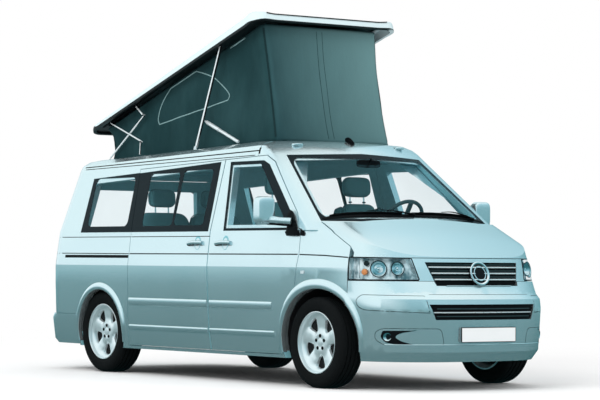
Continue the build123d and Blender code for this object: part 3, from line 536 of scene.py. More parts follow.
def patch(name, outline, project, material, body="body", lift=0.001, sink=0.012, step=0.05, dome=0.0, **extra):
    """A plate that follows the skin: a 2-D outline, cut into a grid, cast onto the body and lifted off it."""
    bm = bmesh.new()
    outline = [Vector(p) for p in outline]
    face = bm.faces.new([bm.verts.new((p.x, p.y, 0)) for p in outline])
    for axis in (0, 1):
        low, high = min(p[axis] for p in outline), max(p[axis] for p in outline)
        cuts = max(1, int((high - low) / step))
        normal = Vector((1 - axis, axis, 0))
        for i in range(1, cuts + 1):
            place = normal * (low + (high - low) * i / (cuts + 1))
            bmesh.ops.bisect_plane(bm, geom=bm.verts[:] + bm.edges[:] + bm.faces[:], plane_co=place,
                plane_no=normal)
    bmesh.ops.triangulate(bm, faces=[f for f in bm.faces if len(f.verts) > 4])
    bm.verts.ensure_lookup_table()
    tops, feet, below = [], [], {}
    for v in bm.verts:
        place, normal = project(v.co.x, v.co.y)
        reach = min((v.co.xy - p).length for p in outline) if dome else 0
        tops.append(place + normal * (lift + dome * (1 - max(0, 1 - reach / DOME_REACH) ** 2)))
        if v.is_boundary:
            below[v.index] = len(bm.verts) + len(feet)
            feet.append(place - normal * sink)
    faces = [tuple(v.index for v in f.verts) for f in bm.faces]
    for e in bm.edges:
        if e.is_boundary:
            a, b = (v.index for v in e.verts)
            faces.append((a, b, below[b], below[a]))
    bm.free()
    return make(name, tops + feet, faces, material, body, **extra)


def revolve(name, profile, centre, material, body, side=1, count=96, **extra):
    """A closed profile (radius, outward) turned about Y through centre, on one side of the van."""
    points = []
    for i in range(count):
        angle = 2 * math.pi * i / count
        for radius, outward in profile:
            points.append((centre[0] + radius * math.cos(angle), centre[1] + side * outward,
                           centre[2] + radius * math.sin(angle)))
    return make(name, points, lattice(count, len(profile), True), material, body, **extra)


def bend(value, power):
    return math.copysign(abs(value) ** power, value)


def rounded_box(count, power, end_power):
    """Points of a box from -1 to 1 with rounded edges, in rings from its foot to its top."""
    points = []
    for i in range(count + 1):
        v = -math.pi / 2 + math.pi * i / count
        for j in range(2 * count):
            u = math.pi * j / count
            points.append([bend(math.cos(v), power) * bend(math.cos(u), power),
                           bend(math.cos(v), power) * bend(math.sin(u), power), bend(math.sin(v), end_power)])
    return points


def pillow(name, centre, size, material, body="body", power=0.35, count=40, **extra):
    """A closed form with rounded edges."""
    points = [Vector(p[a] * size[a] / 2 for a in range(3)) + Vector(centre) for p in rounded_box(count, power,
        power)]
    return make(name, points, lattice(count + 1, 2 * count), material, body, **extra)


def tube(name, path, radius, material, body="body", count=12, flat=1.0, **extra):
    """A round or flattened bar along a path, with closed ends."""
    path = [Vector(p) for p in path]
    points = []
    radii = radius if isinstance(radius, (list, tuple)) else [radius] * len(path)
    hint = Vector((0, 0, 1))
    for i, place in enumerate(path):
        along = (path[min(i + 1, len(path) - 1)] - path[max(i - 1, 0)]).normalized()
        side = along.cross(hint)
        side = (side if side.length > 0.1 else along.cross(Vector((1, 0, 0)))).normalized()
        over = side.cross(along)
        for k in range(count):
            angle = 2 * math.pi * k / count
            points.append(place + side * radii[i] * math.cos(angle) + over * radii[i] * flat * math.sin(angle))
    faces = lattice(len(path), count) + end_faces(len(path), count)
    return make(name, points, faces, material, body, **extra)


def curve_path(points, count=6):
    """A smooth Catmull-Rom path through points."""
    points = [Vector(p) for p in points]
    whole = [points[0] * 2 - points[1]] + points + [points[-1] * 2 - points[-2]]
    result = []
    for i in range(1, len(whole) - 2):
        p0, p1, p2, p3 = whole[i - 1:i + 3]
        for k in range(count):
            t = k / count
            result.append(0.5 * (2 * p1 + (p2 - p0) * t + (2 * p0 - 5 * p1 + 4 * p2 - p3) * t * t
                                 + (3 * p1 - p0 - 3 * p2 + p3) * t ** 3))
    result.append(points[-1])
    return result


sides = (("right", -1), ("left", 1))
door_of = {-1: "door_right", 1: "door_left"}

# ---------------------------------------------------------------- wheels
WINDOW = [(-0.01, 0.092), (0.01, 0.092), (0.034, 0.125), (0.056, 0.168), (0.056, 0.184), (0.03, 0.1935),
          (0.0, 0.196), (-0.03, 0.1935), (-0.056, 0.184), (-0.056, 0.168), (-0.034, 0.125)]
WINDOW = [(p.x, p.y) for p in rounded(WINDOW, 0.012, 3)]


def ray_to(outline, centre, direction):
    best = 10.0
    for (ax, ay), (bx, by) in zip(outline, outline[1:] + outline[:1]):
        ex, ey = bx - ax, by - ay
        cross = direction[0] * ey - direction[1] * ex
        if abs(cross) < 1e-12:
            continue
        t = ((ax - centre[0]) * ey - (ay - centre[1]) * ex) / cross
        s = ((ax - centre[0]) * direction[1] - (ay - centre[1]) * direction[0]) / cross
        if t > 0 and -1e-9 <= s <= 1 + 1e-9:
            best = min(best, t)
    return best


def face_height(radius):
    """How far the alloy's face stands out, from the hub to the lip."""
    table = ((0.0, 0.062), (0.05, 0.062), (0.075, 0.058), (0.11, 0.055), (0.16, 0.06), (0.195, 0.064),
        (0.214, 0.07))
    for (r0, h0), (r1, h1) in zip(table, table[1:]):
        if radius <= r1:
            t = (radius - r0) / (r1 - r0)
            t = t * t * (3 - 2 * t)
            return h0 + (h1 - h0) * t
    return table[-1][1]


def wheel_face():
    """One fifth of the alloy: columns from a window's wall over its edge out to the sector's border."""
    inner, outer, half, rings = 0.066, 0.214, math.radians(36), 7
    border = [(inner, -half + 2 * half * i / 12) for i in range(12)]
    border += [(inner + (outer - inner) * i / 10, half) for i in range(10)]
    border += [(outer, half - 2 * half * i / 12) for i in range(12)]
    border += [(outer - (outer - inner) * i / 10, -half) for i in range(10)]
    centre = (0.0, 0.155)
    columns = []
    for r, a in border:
        end = (r * math.sin(a), r * math.cos(a))
        direction = (end[0] - centre[0], end[1] - centre[1])
        t = ray_to(WINDOW, centre, direction)
        start = (centre[0] + direction[0] * t, centre[1] + direction[1] * t)
        column = []
        for k, drop, pull in ((-1, 0.034, 0.9), (0, 0.008, 1.0)):
            x, y = (centre[0] + (start[0] - centre[0]) * pull, centre[1] + (start[1] - centre[1]) * pull)
            column.append((x, y, face_height(math.hypot(x, y)) - drop))
        for k in range(1, rings + 1):
            s = (k / rings) ** 1.4
            x, y = start[0] + (end[0] - start[0]) * s, start[1] + (end[1] - start[1]) * s
            column.append((x, y, face_height(math.hypot(x, y)) - 0.008 * (1 - s) ** 3))
        columns.append(column)
    return [p for column in columns for p in column], lattice(len(border), rings + 2, True, True)


FACE_POINTS, FACE_FACES = wheel_face()
TYRE = [(0.229, 0.084), (0.232, 0.094), (0.24, 0.1005), (0.262, 0.1055), (0.29, 0.1072), (0.306, 0.106),
        (0.318, 0.1015), (0.327, 0.0945), (0.3335, 0.086), (0.3362, 0.078)]
for centre, width in ((0.056, 0.009), (0.02, 0.01)):
    TYRE += [(0.3378, centre + width / 2), (0.33, centre + width / 2 - 0.001), (0.33, centre - width / 2 + 0.001),
             (0.3378, centre - width / 2)]
TYRE += [(r, -y) for r, y in reversed(TYRE)]
RIM = [(0.213, 0.0695), (0.2165, 0.07), (0.219, 0.0745), (0.2215, 0.088), (0.2235, 0.0955), (0.2265, 0.0985),
       (0.2305, 0.097), (0.231, 0.093), (0.2285, 0.086), (0.227, 0.07), (0.216, 0.05), (0.206, 0.02),
       (0.206, -0.06), (0.224, -0.08), (0.23, -0.098), (0.222, -0.099), (0.214, -0.078),
       (0.196, -0.058), (0.196, 0.025), (0.204, 0.052)]
HUB_FACE = [(0.0005, 0.0565), (0.0005, 0.0648), (0.02, 0.0644), (0.0285, 0.063), (0.03, 0.0605),
            (0.0325, 0.0595), (0.034, 0.0602), (0.067, 0.0588), (0.067, 0.035), (0.033, 0.03)]
BOLT = [(0.0005, 0.056), (0.0005, 0.0626), (0.007, 0.0626), (0.0074, 0.0612), (0.011, 0.0612),
        (0.0114, 0.0622), (0.0132, 0.062), (0.0138, 0.0612), (0.0138, 0.056)]
SHADE = [(0.07, 0.03), (0.198, 0.033), (0.2, 0.031), (0.07, 0.028)]
BRAKE_DISC = [(0.06, 0.008), (0.15, 0.008), (0.152, 0.006), (0.152, -0.014), (0.15, -0.016), (0.06, -0.016)]
CARRIER = [(0.0005, 0.036), (0.066, 0.034), (0.07, 0.012), (0.07, -0.012), (0.0005, -0.012)]
AXLES = {"front": 1.551, "rear": -1.449}
TRACK_HALF, WHEEL_HEIGHT, BOLT_CIRCLE = 0.814, 0.338, 0.05
for end, axle_x in AXLES.items():
    for label, side in sides:
        place = f"{end}_{label}"
        body = "wheel_" + place
        hub = Vector((axle_x, side * TRACK_HALF, WHEEL_HEIGHT))
        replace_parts(revolve(f"tyre_{place}_look", TYRE, hub, tyre_rubber, body, count=112, split=32),
            "tyre_" + place)
        points, faces = [], []
        for k in range(5):
            turn = math.radians(36 + 72 * k)
            start = len(points)
            for x, y, h in FACE_POINTS:
                a, b = x * math.cos(turn) - y * math.sin(turn), x * math.sin(turn) + y * math.cos(turn)
                points.append(hub + Vector((a, side * h, b)))
            faces += [tuple(start + i for i in f) for f in FACE_FACES]
        make("spokes_" + place, points, faces, alloy, body, split=50)
        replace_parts(revolve(f"rim_{place}_look", RIM, hub, alloy, body, side, 112, split=35), "rim_" + place)
        revolve("hub_" + place, HUB_FACE, hub, alloy, body, side, 60)
        # Black bolt heads: painted shade of the bolt holes.
        for k in range(5):
            angle = math.radians(90 + 72 * k)
            at = hub + Vector((BOLT_CIRCLE * math.cos(angle), 0, BOLT_CIRCLE * math.sin(angle)))
            revolve(f"bolt_{place}_{k}", BOLT, at, black_plastic, body, side, 20)
        # A black disc behind the spokes: painted shade in the wheel's windows.
        revolve("wheel_shade_" + place, SHADE, hub, under_black, body, side, 64)
        revolve("brake_disc_" + place, BRAKE_DISC, hub, bright, body, side, 64, slot="steel")
        revolve("hub_carrier_" + place, CARRIER, hub, cast_iron, body, side, 40)

# ---------------------------------------------------------------- arches, mouldings and lines on the sides
ARCH_STEPS = 60
ARCH_SECTION = ((0.0, -0.03), (0.0, 0.004), (0.003, 0.012), (0.01, 0.0165), (0.024, 0.0185), (0.044, 0.016),
                (0.062, 0.01), (0.072, 0.003), (0.078, -0.003))
MOULDING = ((-0.5, -0.4), (-0.5, 0.25), (-0.44, 0.7), (-0.3, 0.95), (0.0, 1.0), (0.34, 0.9), (0.46, 0.55),
            (0.5, 0.1), (0.5, -0.4))
for label, side in sides:
    # front and rear arches: lip at the opening, bulge, fade into the panel
    for end, opening, reach, low, high in (("front", 0.398, 0.078, -8, 192), ("rear", 0.352, 0.062, -12, 194)):
        points = []
        for i in range(ARCH_STEPS + 1):
            angle = math.radians(low + (high - low) * i / ARCH_STEPS)
            c, sn = math.cos(angle), math.sin(angle)
            fade = min(1.0, 0.55 + 0.45 * max(0.0, sn) ** 0.5)
            width = reach / 0.078 * (fade if end == "rear" else (0.45 + 0.55 * max(0.0, sn) ** 0.7))
            for out_r, stand in ARCH_SECTION:
                radius = opening - 0.002 + out_r * width
                beyond = opening + 0.004 + out_r * width
                base, _ = on_side(side, AXLES[end] + beyond * c, max(0.238, WHEEL_HEIGHT + beyond * sn))
                points.append((AXLES[end] + radius * c, base.y + side * stand * (0.75 + 0.25 * fade),
                               WHEEL_HEIGHT + radius * sn))
        make(f"arch_{end}_{label}", points, lattice(ARCH_STEPS + 1, len(ARCH_SECTION), False, True), body_paint,
            split=60)

    # painted side mouldings, split at the door gaps
    for part, x0, x1, body in (("rear", -0.985, 0.158, "body"), ("door", 0.196, 1.035, door_of[side])):
        for z, height, depth, last in ((0.598, 0.062, 0.0095, x1),
                                       (0.389, 0.042, 0.01, x1 + (0.032 if part == "door" else 0))):
            path = resample([(x0, z), (last, z)], 0.05)
            samples = [on_side(side, p.x + (0.012 if part == "rear" and z < 0.5 and p.x > 0 else 0), p.y)
                for p in path]
            sweep(f"moulding_{part}_{label}_{int(z * 1000)}", samples,
                [(height * a, depth * b) for a, b in MOULDING], body_paint, body, split=50)
    # thin dark lines: belt line, window-sill line, rail groove
    for name, points, width, body in (
            ("belt_rear", [(-0.995, 0.989), (0.157, 0.989)], 0.009, "body"),
            ("belt_door", [(0.173, 0.989), (1.338, 0.989)], 0.009, door_of[side]),
            ("belt_wing", [(1.358, 0.988), (1.6, 0.982), (1.828, 0.968)], 0.009, "body"),
            ("belt_quarter", [(-2.3, 0.992), (-1.01, 0.989)], 0.007, "body"),
            ("sill_quarter", [(-2.22, 1.128), (-1.005, 1.128)], 0.006, "body"),
            ("sill_slide", [(-0.99, 1.128), (0.157, 1.128)], 0.006, "body"),
            ("rail_groove", [(-2.02, 0.966), (-1.012, 0.966)], 0.024, "body")):
        strip(f"{name}_{label}", [on_side(side, p.x, p.y) for p in resample(points, 0.06)], width, black_plastic,
            body, height=0.0015 if name == "rail_groove" else 0.0006)

# ---------------------------------------------------------------- window borders are in the glass itself
def side_border(s):
    quarter = s.inside((-1.43, 1.422), (0.315, 0.206), 0.05, shear=0.1)
    rear_pane = s.inside((-0.665, 1.432), (0.222, 0.216), 0.035, shear=0.1)
    front_pane = s.inside((-0.19, 1.44), (0.212, 0.222), 0.035, shear=0.04)
    return s.math("SUBTRACT", 1.0, s.math("MAXIMUM", quarter, s.math("MAXIMUM", rear_pane, front_pane)))


def door_border(s):
    lower, upper = s.math("LESS_THAN", s.z, 1.19), s.math("GREATER_THAN", s.z, 1.69)
    above_sill = s.math("SUBTRACT", s.z, 1.17)
    rear = s.math("LESS_THAN", s.math("ADD", s.x, s.math("MULTIPLY", above_sill, 0.19)), 0.362)
    front = s.math("GREATER_THAN", s.math("ADD", s.x, s.math("MULTIPLY", above_sill, 1.07)), 1.212)
    return s.math("MAXIMUM", s.math("MAXIMUM", lower, rear), s.math("MAXIMUM", upper, front))


def screen_border(s):
    return s.math("SUBTRACT", 1.0, s.inside((0.0, 1.5), (0.706, 0.24), 0.07, shear=0.289, along="|y|", soft=0.003))


def tailgate_border(s):
    return s.math("SUBTRACT", 1.0, s.inside((0.0, 1.385), (0.575, 0.165), 0.07, along="|y|", soft=0.004))


door_glass_finish = clear_glass("door_glass_finish", shade=door_border)
for name, finish in (
        ("side_glass", clear_glass("side_glass_finish", shade=side_border)), ("door_glass_left", door_glass_finish),
        ("door_glass_right", door_glass_finish),
        ("windscreen", clear_glass("windscreen_finish", (0.985, 0.997, 1.0), screen_border, (0.22, 0.48, 0.55))),
        ("tailgate_glass", clear_glass("tailgate_finish", shade=tailgate_border))):
    nodes[name].data.materials[0] = finish

# ---------------------------------------------------------------- canvas
SLOPE, LIFT = math.radians(2.0), math.radians(17.8)
SHELL_TAIL_X, SHELL_TAIL_Z = -2.061, 2.019
ROOF_EDGE_X, ROOF_EDGE_Z = 0.6, 1.8
CANVAS_HALF, CANVAS_CORNER = 0.572, 0.05


def base_point(x, y, rise=0.081):
    """A point of the fixed roof's sloping top, by default at the canvas's foot."""
    return Vector((x, y, ROOF_EDGE_Z + (x - ROOF_EDGE_X) * math.tan(SLOPE) + rise))


def shell_point(along, y, rise=0.014):
    """A point of the raised shell, by its distance from the rear tip; by default at the canvas's head."""
    return Vector((SHELL_TAIL_X + along * math.cos(LIFT) - rise * math.sin(LIFT), y,
                   SHELL_TAIL_Z + along * math.sin(LIFT) + rise * math.cos(LIFT)))


def loop_of(x0, x1, half, radius, count):
    """Points round a rounded rectangle, the same share of them on each side and corner."""
    corners = ((x1 - radius, -half + radius, -90), (x1 - radius, half - radius, 0),
        (x0 + radius, half - radius, 90), (x0 + radius, -half + radius, 180))
    result = []
    for k, (cx, cy, start) in enumerate(corners):
        for i in range(9):
            angle = math.radians(start + 90 * i / 8)
            result.append((cx + radius * math.cos(angle), cy + radius * math.sin(angle)))
        nx, ny, nstart = corners[(k + 1) % 4]
        a = result[-1]
        angle = math.radians(nstart)
        b = (nx + radius * math.cos(angle), ny + radius * math.sin(angle))
        for i in range(1, count[k % 2]):
            t = i / count[k % 2]
            result.append((a[0] + (b[0] - a[0]) * t, a[1] + (b[1] - a[1]) * t))
    return result


low_loop = loop_of(-1.89, 0.545, CANVAS_HALF, CANVAS_CORNER, (30, 64))
high_loop = loop_of(0.095, 2.54, CANVAS_HALF, CANVAS_CORNER, (30, 64))
points = []
LEVELS, SIDE_PULL, REAR_PULL = 36, 0.03, 0.045
for k in range(LEVELS + 1):
    t = k / LEVELS
    waist = 4 * t * (1 - t)
    for (bx, by), (sx, sy) in zip(low_loop, high_loop):
        a, b = base_point(bx, by), shell_point(sx, sy)
        p = a.lerp(b, t)
        inward_y = -math.copysign(1, by) if abs(by) > 0.5 else -by * 0.6
        at_end = 1 if bx > 0.5 or bx < -1.84 else 0
        pull = SIDE_PULL * waist * min(1, (b - a).length)
        p.y += inward_y * pull * (0.4 + 0.6 * at_end)
        if bx > 0.48:
            p.x -= SIDE_PULL * waist * (1 - (by / 0.6) ** 2)
        if bx < -1.82:
            p.x += REAR_PULL * waist
        ripple = 0.004 * math.sin(bx * 9 + by * 7 + t * 5) + 0.003 * math.sin(bx * 23 - t * 11 + by * 17)
        p.y += ripple * (1 if by < 0 else -1) * waist
        p.x += ripple * at_end * waist
        points.append(p)
canvas = make("canvas_look", points, lattice(LEVELS + 1, len(low_loop)), canvas_cloth, split=80)
thick = canvas.modifiers.new("cloth_thickness", "SOLIDIFY")
thick.thickness = 0.0015
thick.offset = -1
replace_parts(canvas, "canvas")


def sewn(piece):
    """Gives the piece its own copy of its mesh."""
    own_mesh(piece)


sewn(canvas)

# ---------------------------------------------------------------- round the nose
NOSE_X, NOSE_Y = 1.5, 0.3


def on_nose(side, angle, z):
    """The skin as seen from an upright line inside the nose, at an angle (degrees) from straight ahead."""
    out = Vector((math.cos(math.radians(angle)), side * math.sin(math.radians(angle)), 0))
    return cast(Vector((NOSE_X, side * NOSE_Y, z)) + out * 3, -out)


def nose_points(side, outline, spread=0.8):
    """Outline points (angle, z) as a flat outline in metres, and the way back to the skin."""
    flat = [(math.radians(a) * spread, z) for a, z in outline]
    return flat, lambda s, z: on_nose(side, math.degrees(s / spread), z)


# ---------------------------------------------------------------- headlamps
lamp_metal = metal("lamp_reflector", (0.8, 0.92, 0.95), 0.16)
# The housing's colour swings in blotches from dark teal to near white: painted reflections. It also colours the
# lamp dividers and side markers.
s = Shader("lamp_housing")
reflection_mottle = s.noise(16, 2, vector=s.place, stretch=(1, 1, 0.6))
lamp_back = s.done(s.surface(Base_Color=s.mix(s.span(reflection_mottle, 0.36, 0.6), (0.1, 0.2, 0.23, 1), (0.8, 0.9, 0.93, 1)),
                             Metallic=0.5, Roughness=0.25, Normal=s.bump(s.noise(60, 2), 0.003)))


def sunk(sample, depth):
    """A surface sample (point, normal) moved in by a depth."""
    return sample[0] - sample[1] * depth, sample[1]


LAMP_DEPTH = 0.05
for label, side in sides:
    flat, project = nose_points(side, [(18.4, 0.965), (57.5, 0.97), (57.5, 0.806), (15.0, 0.806)])
    flat = rounded(flat, 0.012, 4)
    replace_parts(patch(f"lamp_bowl_{label}", flat, lambda s, z: sunk(project(s, z), LAMP_DEPTH), lamp_back,
                      lift=0.0, sink=-0.047, step=0.04), "headlamps")
    patch(f"lamp_lens_{label}", flat, project, lens, lift=0.001, sink=0.002, step=0.03)
    rim = [project(p.x, p.y) for p in resample(flat, 0.02, closed=True)]
    strip(f"lamp_rim_{label}", rim, 0.0075, gloss_black, height=0.002, closed=True)
    parts = (("main", (2.059, -0.732, 0.89), 0.056, 0.04), ("dipped", (2.158, -0.629, 0.893), 0.046, 0.036))
    for part, (x, y, z), radius, deep in parts:
        place, normal = on_front(-side * y, z)
        facing = (normal + Vector((0.9, 0, 0))).normalized()
        at = place - normal * 0.014
        bowl = [(0.003, -deep), (radius * 0.45, -deep * 0.86), (radius * 0.78, -deep * 0.5), (radius * 0.93, 0.0),
                (radius, 0.002), (radius, -0.003), (radius * 0.82, -deep * 0.55), (radius * 0.48, -deep * 0.95),
                (0.003, -deep - 0.004)]
        turned(f"lamp_dish_{part}_{label}", bowl, at, facing, lamp_metal)
        turned(f"lamp_ring_{part}_{label}", [(radius, -0.004), (radius + 0.006, -0.002), (radius + 0.007, 0.001),
                                             (radius + 0.001, 0.003)], at, facing, gloss_black)
        turned(f"lamp_bulb_{part}_{label}", [(0.0004, -deep), (0.012, -deep), (0.014, -0.014), (0.01, -0.006),
                                             (0.0004, -0.003)], at, facing, chrome)
    for part, (x, y, z), radius, finish in (("turn", (1.962, -0.795, 0.866), 0.024, amber),
                                            ("side", (1.965, -0.79, 0.932), 0.02, gloss_black)):
        place, normal = on_side(side, x, z)
        turned(f"lamp_{part}_{label}", [(0.0004, -0.02), (radius, -0.018), (radius * 0.9, -0.004), (0.0004, 0.004)],
               place - normal * 0.02, normal, finish, slot="lamp_glass")
    divide = [sunk(on_nose(side, 49.5 + (z - 0.8) * 6, z), 0.012) for z in (0.81, 0.85, 0.89, 0.93, 0.965)]
    strip(f"lamp_divider_{label}", divide, 0.006, lamp_back, height=0.006)

# ---------------------------------------------------------------- grille, disc and lower grille
GRILLE_TOP, GRILLE_FOOT = (0.937, 0.44), (0.77, 0.384)


def grille_half(z):
    t = (z - GRILLE_FOOT[0]) / (GRILLE_TOP[0] - GRILLE_FOOT[0])
    return GRILLE_FOOT[1] + (GRILLE_TOP[1] - GRILLE_FOOT[1]) * t


for i, z in enumerate((0.812, 0.857, 0.901)):
    bead(f"grille_bar_{i}", [on_front(y, z) for y in across(grille_half(z) - 0.008, 12)], 0.0105, 0.0035, bright)
for i, z in enumerate((0.826, 0.8345, 0.871, 0.8795, 0.915, 0.9235)):
    strip(f"grille_slat_{i}", [on_front(y, z) for y in across(grille_half(z) - 0.01, 8)], 0.003, dark_trim,
        height=0.003)
bead("grille_foot_edge", [on_front(y, 0.7665) for y in across(0.31, 10)], 0.006, 0.003, body_paint)

disc_normal = Vector((math.cos(math.radians(17.2)), 0, math.sin(math.radians(17.2))))
disc_at = Vector((2.31, 0, 0.848)) + disc_normal * 0.0285
turned("badge_ring", [(0.072, -0.004), (0.0905, -0.004), (0.0915, 0.0), (0.0895, 0.0045), (0.085, 0.0065),
                      (0.079, 0.0055), (0.0745, 0.002), (0.072, 0.0)], disc_at, disc_normal, chrome,
       count=72)
turned("badge_face", [(0.0004, -0.004), (0.0725, -0.004), (0.0725, -0.0005), (0.06, 0.0015), (0.04, 0.003),
                      (0.0004, 0.0038)], disc_at, disc_normal, gloss_black, count=72)
turned("badge_inner", [(0.05, 0.0005), (0.056, 0.0005), (0.0565, 0.003), (0.053, 0.0042), (0.0495, 0.003)],
       disc_at, disc_normal, chrome, count=72)
turned("badge_side", [(0.08, -0.0285), (0.0905, -0.0285), (0.0905, -0.0035), (0.08, -0.0035)], disc_at, disc_normal,
       gloss_black, count=72)

bead("lower_grille_bar", [on_front(y, 0.573) for y in across(0.463, 12)], 0.0095, 0.006, bright)
for i, z in enumerate((0.545, 0.6)):
    strip(f"lower_slat_{i}", [on_front(y, z) for y in across(0.44, 12)], 0.006, dark_trim, height=0.004)

# ---------------------------------------------------------------- bumper lines and fog lamps
for label, side in sides:
    for name, outline, radii, width in (("bumper_panel", [(14.5, 0.693), (48.0, 0.698), (51.5, 0.655),
            (50.0, 0.612), (46.0, 0.588), (12.8, 0.57)], [0.004, 0.05, 0.03, 0.03, 0.05, 0.004], 0.0042),
            ("fog_panel", [(7.2, 0.456), (35.0, 0.457), (39.2, 0.43), (39.2, 0.378), (34.5, 0.336), (5.4, 0.338)],
            0.03, 0.0035)):
        flat, project = nose_points(side, outline)
        loop = resample(rounded(flat, radii, 4), 0.03, closed=True)
        strip(f"{name}_{label}", [project(p.x, p.y) for p in loop], width, black_plastic, closed=True,
            height=0.0003)
    # A gloss black patch shaped like the slash: painted shade in the fog lamp's recess.
    slash = [(34.9, 0.44), (26.2, 0.4415), (18.6, 0.444), (26.2, 0.424), (29.3, 0.397), (26.2, 0.366),
             (19.6, 0.339), (28.8, 0.34), (33.9, 0.358), (36.4, 0.397)]
    flat, project = nose_points(side, slash)
    patch(f"fog_recess_shade_{label}", rounded(flat, [0.01, 0.05, 0.002, 0.05, 0.03, 0.05, 0.002, 0.05, 0.02, 0.02], 4),
          project, gloss_black, lift=0.001, sink=0.006, step=0.02)
    place, normal = on_nose(side, 32.6, 0.396)
    facing = (normal + Vector((0.5, 0, 0))).normalized()
    turned(f"fog_lamp_{label}", [(0.003, -0.006), (0.02, -0.003), (0.026, 0.004), (0.029, 0.006), (0.03, 0.002),
                                 (0.03, -0.012), (0.003, -0.012)], place + normal * 0.003, facing, lamp_metal)
    turned(f"fog_lens_{label}", [(0.0004, 0.0), (0.026, -0.001), (0.024, 0.004), (0.0004, 0.008)],
           place + normal * 0.003, facing, lens)
strip("bumper_front_line", [on_front(y, 0.703) for y in across(0.47, 14)], 0.0042, black_plastic, height=0.0003)
samples = [on_nose(-1, a, 0.338) for a in range(34, -1, -3)]
samples += [on_front(0.28 * k / 8, 0.338) for k in range(-7, 8)] + [on_nose(1, a, 0.338) for a in range(0, 36, 3)]
bead("bumper_low_edge", samples, 0.01, 0.003, body_paint)

# ---------------------------------------------------------------- mirrors, sails and door handles
MIRROR_Y, MIRROR_Z = 1.0625, 1.318
for label, side in sides:
    body = door_of[side]
    housing = pillow(f"mirror_housing_{label}", (1.089, side * MIRROR_Y, MIRROR_Z), (0.096, 0.155, 0.208),
        body_paint, body, power=0.42)
    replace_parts(housing, f"mirror_{label}")
    pillow(f"mirror_glass_{label}", (1.044, side * MIRROR_Y, MIRROR_Z + 0.002), (0.01, 0.132, 0.18), chrome, body,
        power=0.3)
    arm = [(1.092, side * 1.03, 1.248), (1.15, side * 1.012, 1.246), (1.215, side * 0.972, 1.24),
           (1.262, side * 0.935, 1.236)]
    tube(f"mirror_arm_{label}", curve_path(arm, 5), [0.03] * 8 + [0.028] * 8, body_paint, body, count=20, flat=0.95)
    under = [(p[0], p[1], p[2] - 0.028) for p in arm]
    tube(f"mirror_under_{label}", curve_path(under, 5), 0.0165, black_plastic, body, count=16, flat=0.7)
    sail = [(1.176, 1.325), (1.215, 1.31), (1.312, 1.2), (1.3425, 1.126), (1.185, 1.128), (1.182, 1.2)]
    patch(f"mirror_sail_{label}", rounded(sail, [0.01, 0.015, 0.05, 0.008, 0.008, 0.03], 4),
          partial(on_side, side), black_plastic, body, lift=0.006, sink=0.004, step=0.03, dome=0.016)
    wedge = [(1.3535, 1.128), (1.3535, 1.158), (1.3538, 1.184), (1.366, 1.178), (1.392, 1.146), (1.388, 1.128)]
    patch(f"mirror_foot_{label}", rounded(wedge, [0.004, 0.01, 0.008, 0.02, 0.02, 0.012], 3),
          partial(on_side, side), black_plastic, lift=0.012, sink=0.004, step=0.02)
    handles = [("front", 0.254, 0.456, 0.386, body)]
    if side < 0:
        handles.append(("sliding", -0.136, 0.066, -0.002, "body"))
    for part, x0, x1, bowl, rides in handles:
        # The larger oval, in the lining colour, is painted shade in the handle's recess; the smaller oval in paint
        # is its dish.
        for name, z, width, height, finish, rise, sink in (("bowl_shade", 1.077, 0.043, 0.056, lining, 0.0006, 0.004),
                                                           ("dish", 1.07, 0.034, 0.045, body_paint, 0.0012, 0.003)):
            oval = [(bowl + width * math.cos(a), z + height * math.sin(a)) for a in
                    [math.pi * k / 16 for k in range(32)]]
            patch(f"handle_{name}_{part}_{label}", oval, partial(on_side, side), finish, rides, lift=rise,
                sink=sink, step=0.02)
        path = []
        for x, out, z in ((x0, 0.004, 1.068), (x0 + 0.022, 0.018, 1.07), (bowl - 0.03, 0.032, 1.076),
                          (bowl + 0.02, 0.034, 1.077), (x1 - 0.03, 0.026, 1.077), (x1 - 0.008, 0.006, 1.077)):
            place, normal = on_side(side, x, z)
            path.append(place + normal * out)
        path = curve_path(path, 4)
        widths = [0.008 + 0.0075 * min(1, k / 8) for k in range(len(path))]
        tube(f"handle_{part}_{label}", path, widths, body_paint, rides, count=16, flat=1.0)
        # A black bar just under and behind the handle: painted shadow of the handle.
        shadow = [p + Vector((0, -side * 0.004, -0.0105)) for p in path[1:-1]]
        tube(f"handle_shadow_{part}_{label}", shadow, 0.0085, black_plastic, rides, count=12, flat=0.8)
    marker = [(1.385, 0.844), (1.425, 0.844), (1.425, 0.87), (1.385, 0.87)]
    patch(f"side_marker_{label}", rounded(marker, 0.008, 3), partial(on_side, side), lamp_back,
          lift=0.003, sink=0.004)

# ---------------------------------------------------------------- raised roof shell
SHELL_LONG, SHELL_HALF = 2.646, 0.702


def shell_thick(along):
    """Thickness of the shell at a distance from its rear tip."""
    if along < 0.12:
        return 0.018 + 0.029 * (along / 0.12) ** 0.7
    return min(0.047 + 0.032 * (along - 0.12) / (SHELL_LONG - 0.12), 0.061 + 0.018 * (SHELL_LONG - along) / 0.06)


def ear(along, y):
    """The raised, outward-turned front corners."""
    a = max(0.0, min(1.0, (along - 2.47) / 0.12))
    b = max(0.0, min(1.0, (abs(y) - 0.52) / 0.1))
    return a * a * (3 - 2 * a) * b * b * (3 - 2 * b)


def shell_ring(inset, rise_of, swell=1.0):
    corner = max(0.12 - inset, 0.004)
    ring = []
    for a, y in loop_of(inset, SHELL_LONG - inset, SHELL_HALF - inset, corner, (16, 40)):
        grow = ear(a, y) * swell
        ring.append(shell_point(a + 0.012 * grow, y + math.copysign(0.016 * grow, y), rise_of(a, y)))
    return ring


def top_rise(share, a, y):
    """Height of the outer skin above the shell's foot at a share of its thickness, crowned at the top."""
    crown = 0.004 * (1 - (y / SHELL_HALF) ** 2) if share == 1 else 0
    return share * (shell_thick(a) + 0.004 * ear(a, y)) + crown


def ceiling(gap, a, _):
    """Height of the inner skin above the shell's foot: the shell's thickness less a gap."""
    return shell_thick(a) - gap


def stack(rings):
    """Rings joined into a surface, the last one closed."""
    points, count = [p for ring in rings for p in ring], len(rings[0])
    return points, lattice(len(rings), count) + [tuple(range(len(points) - count, len(points)))]


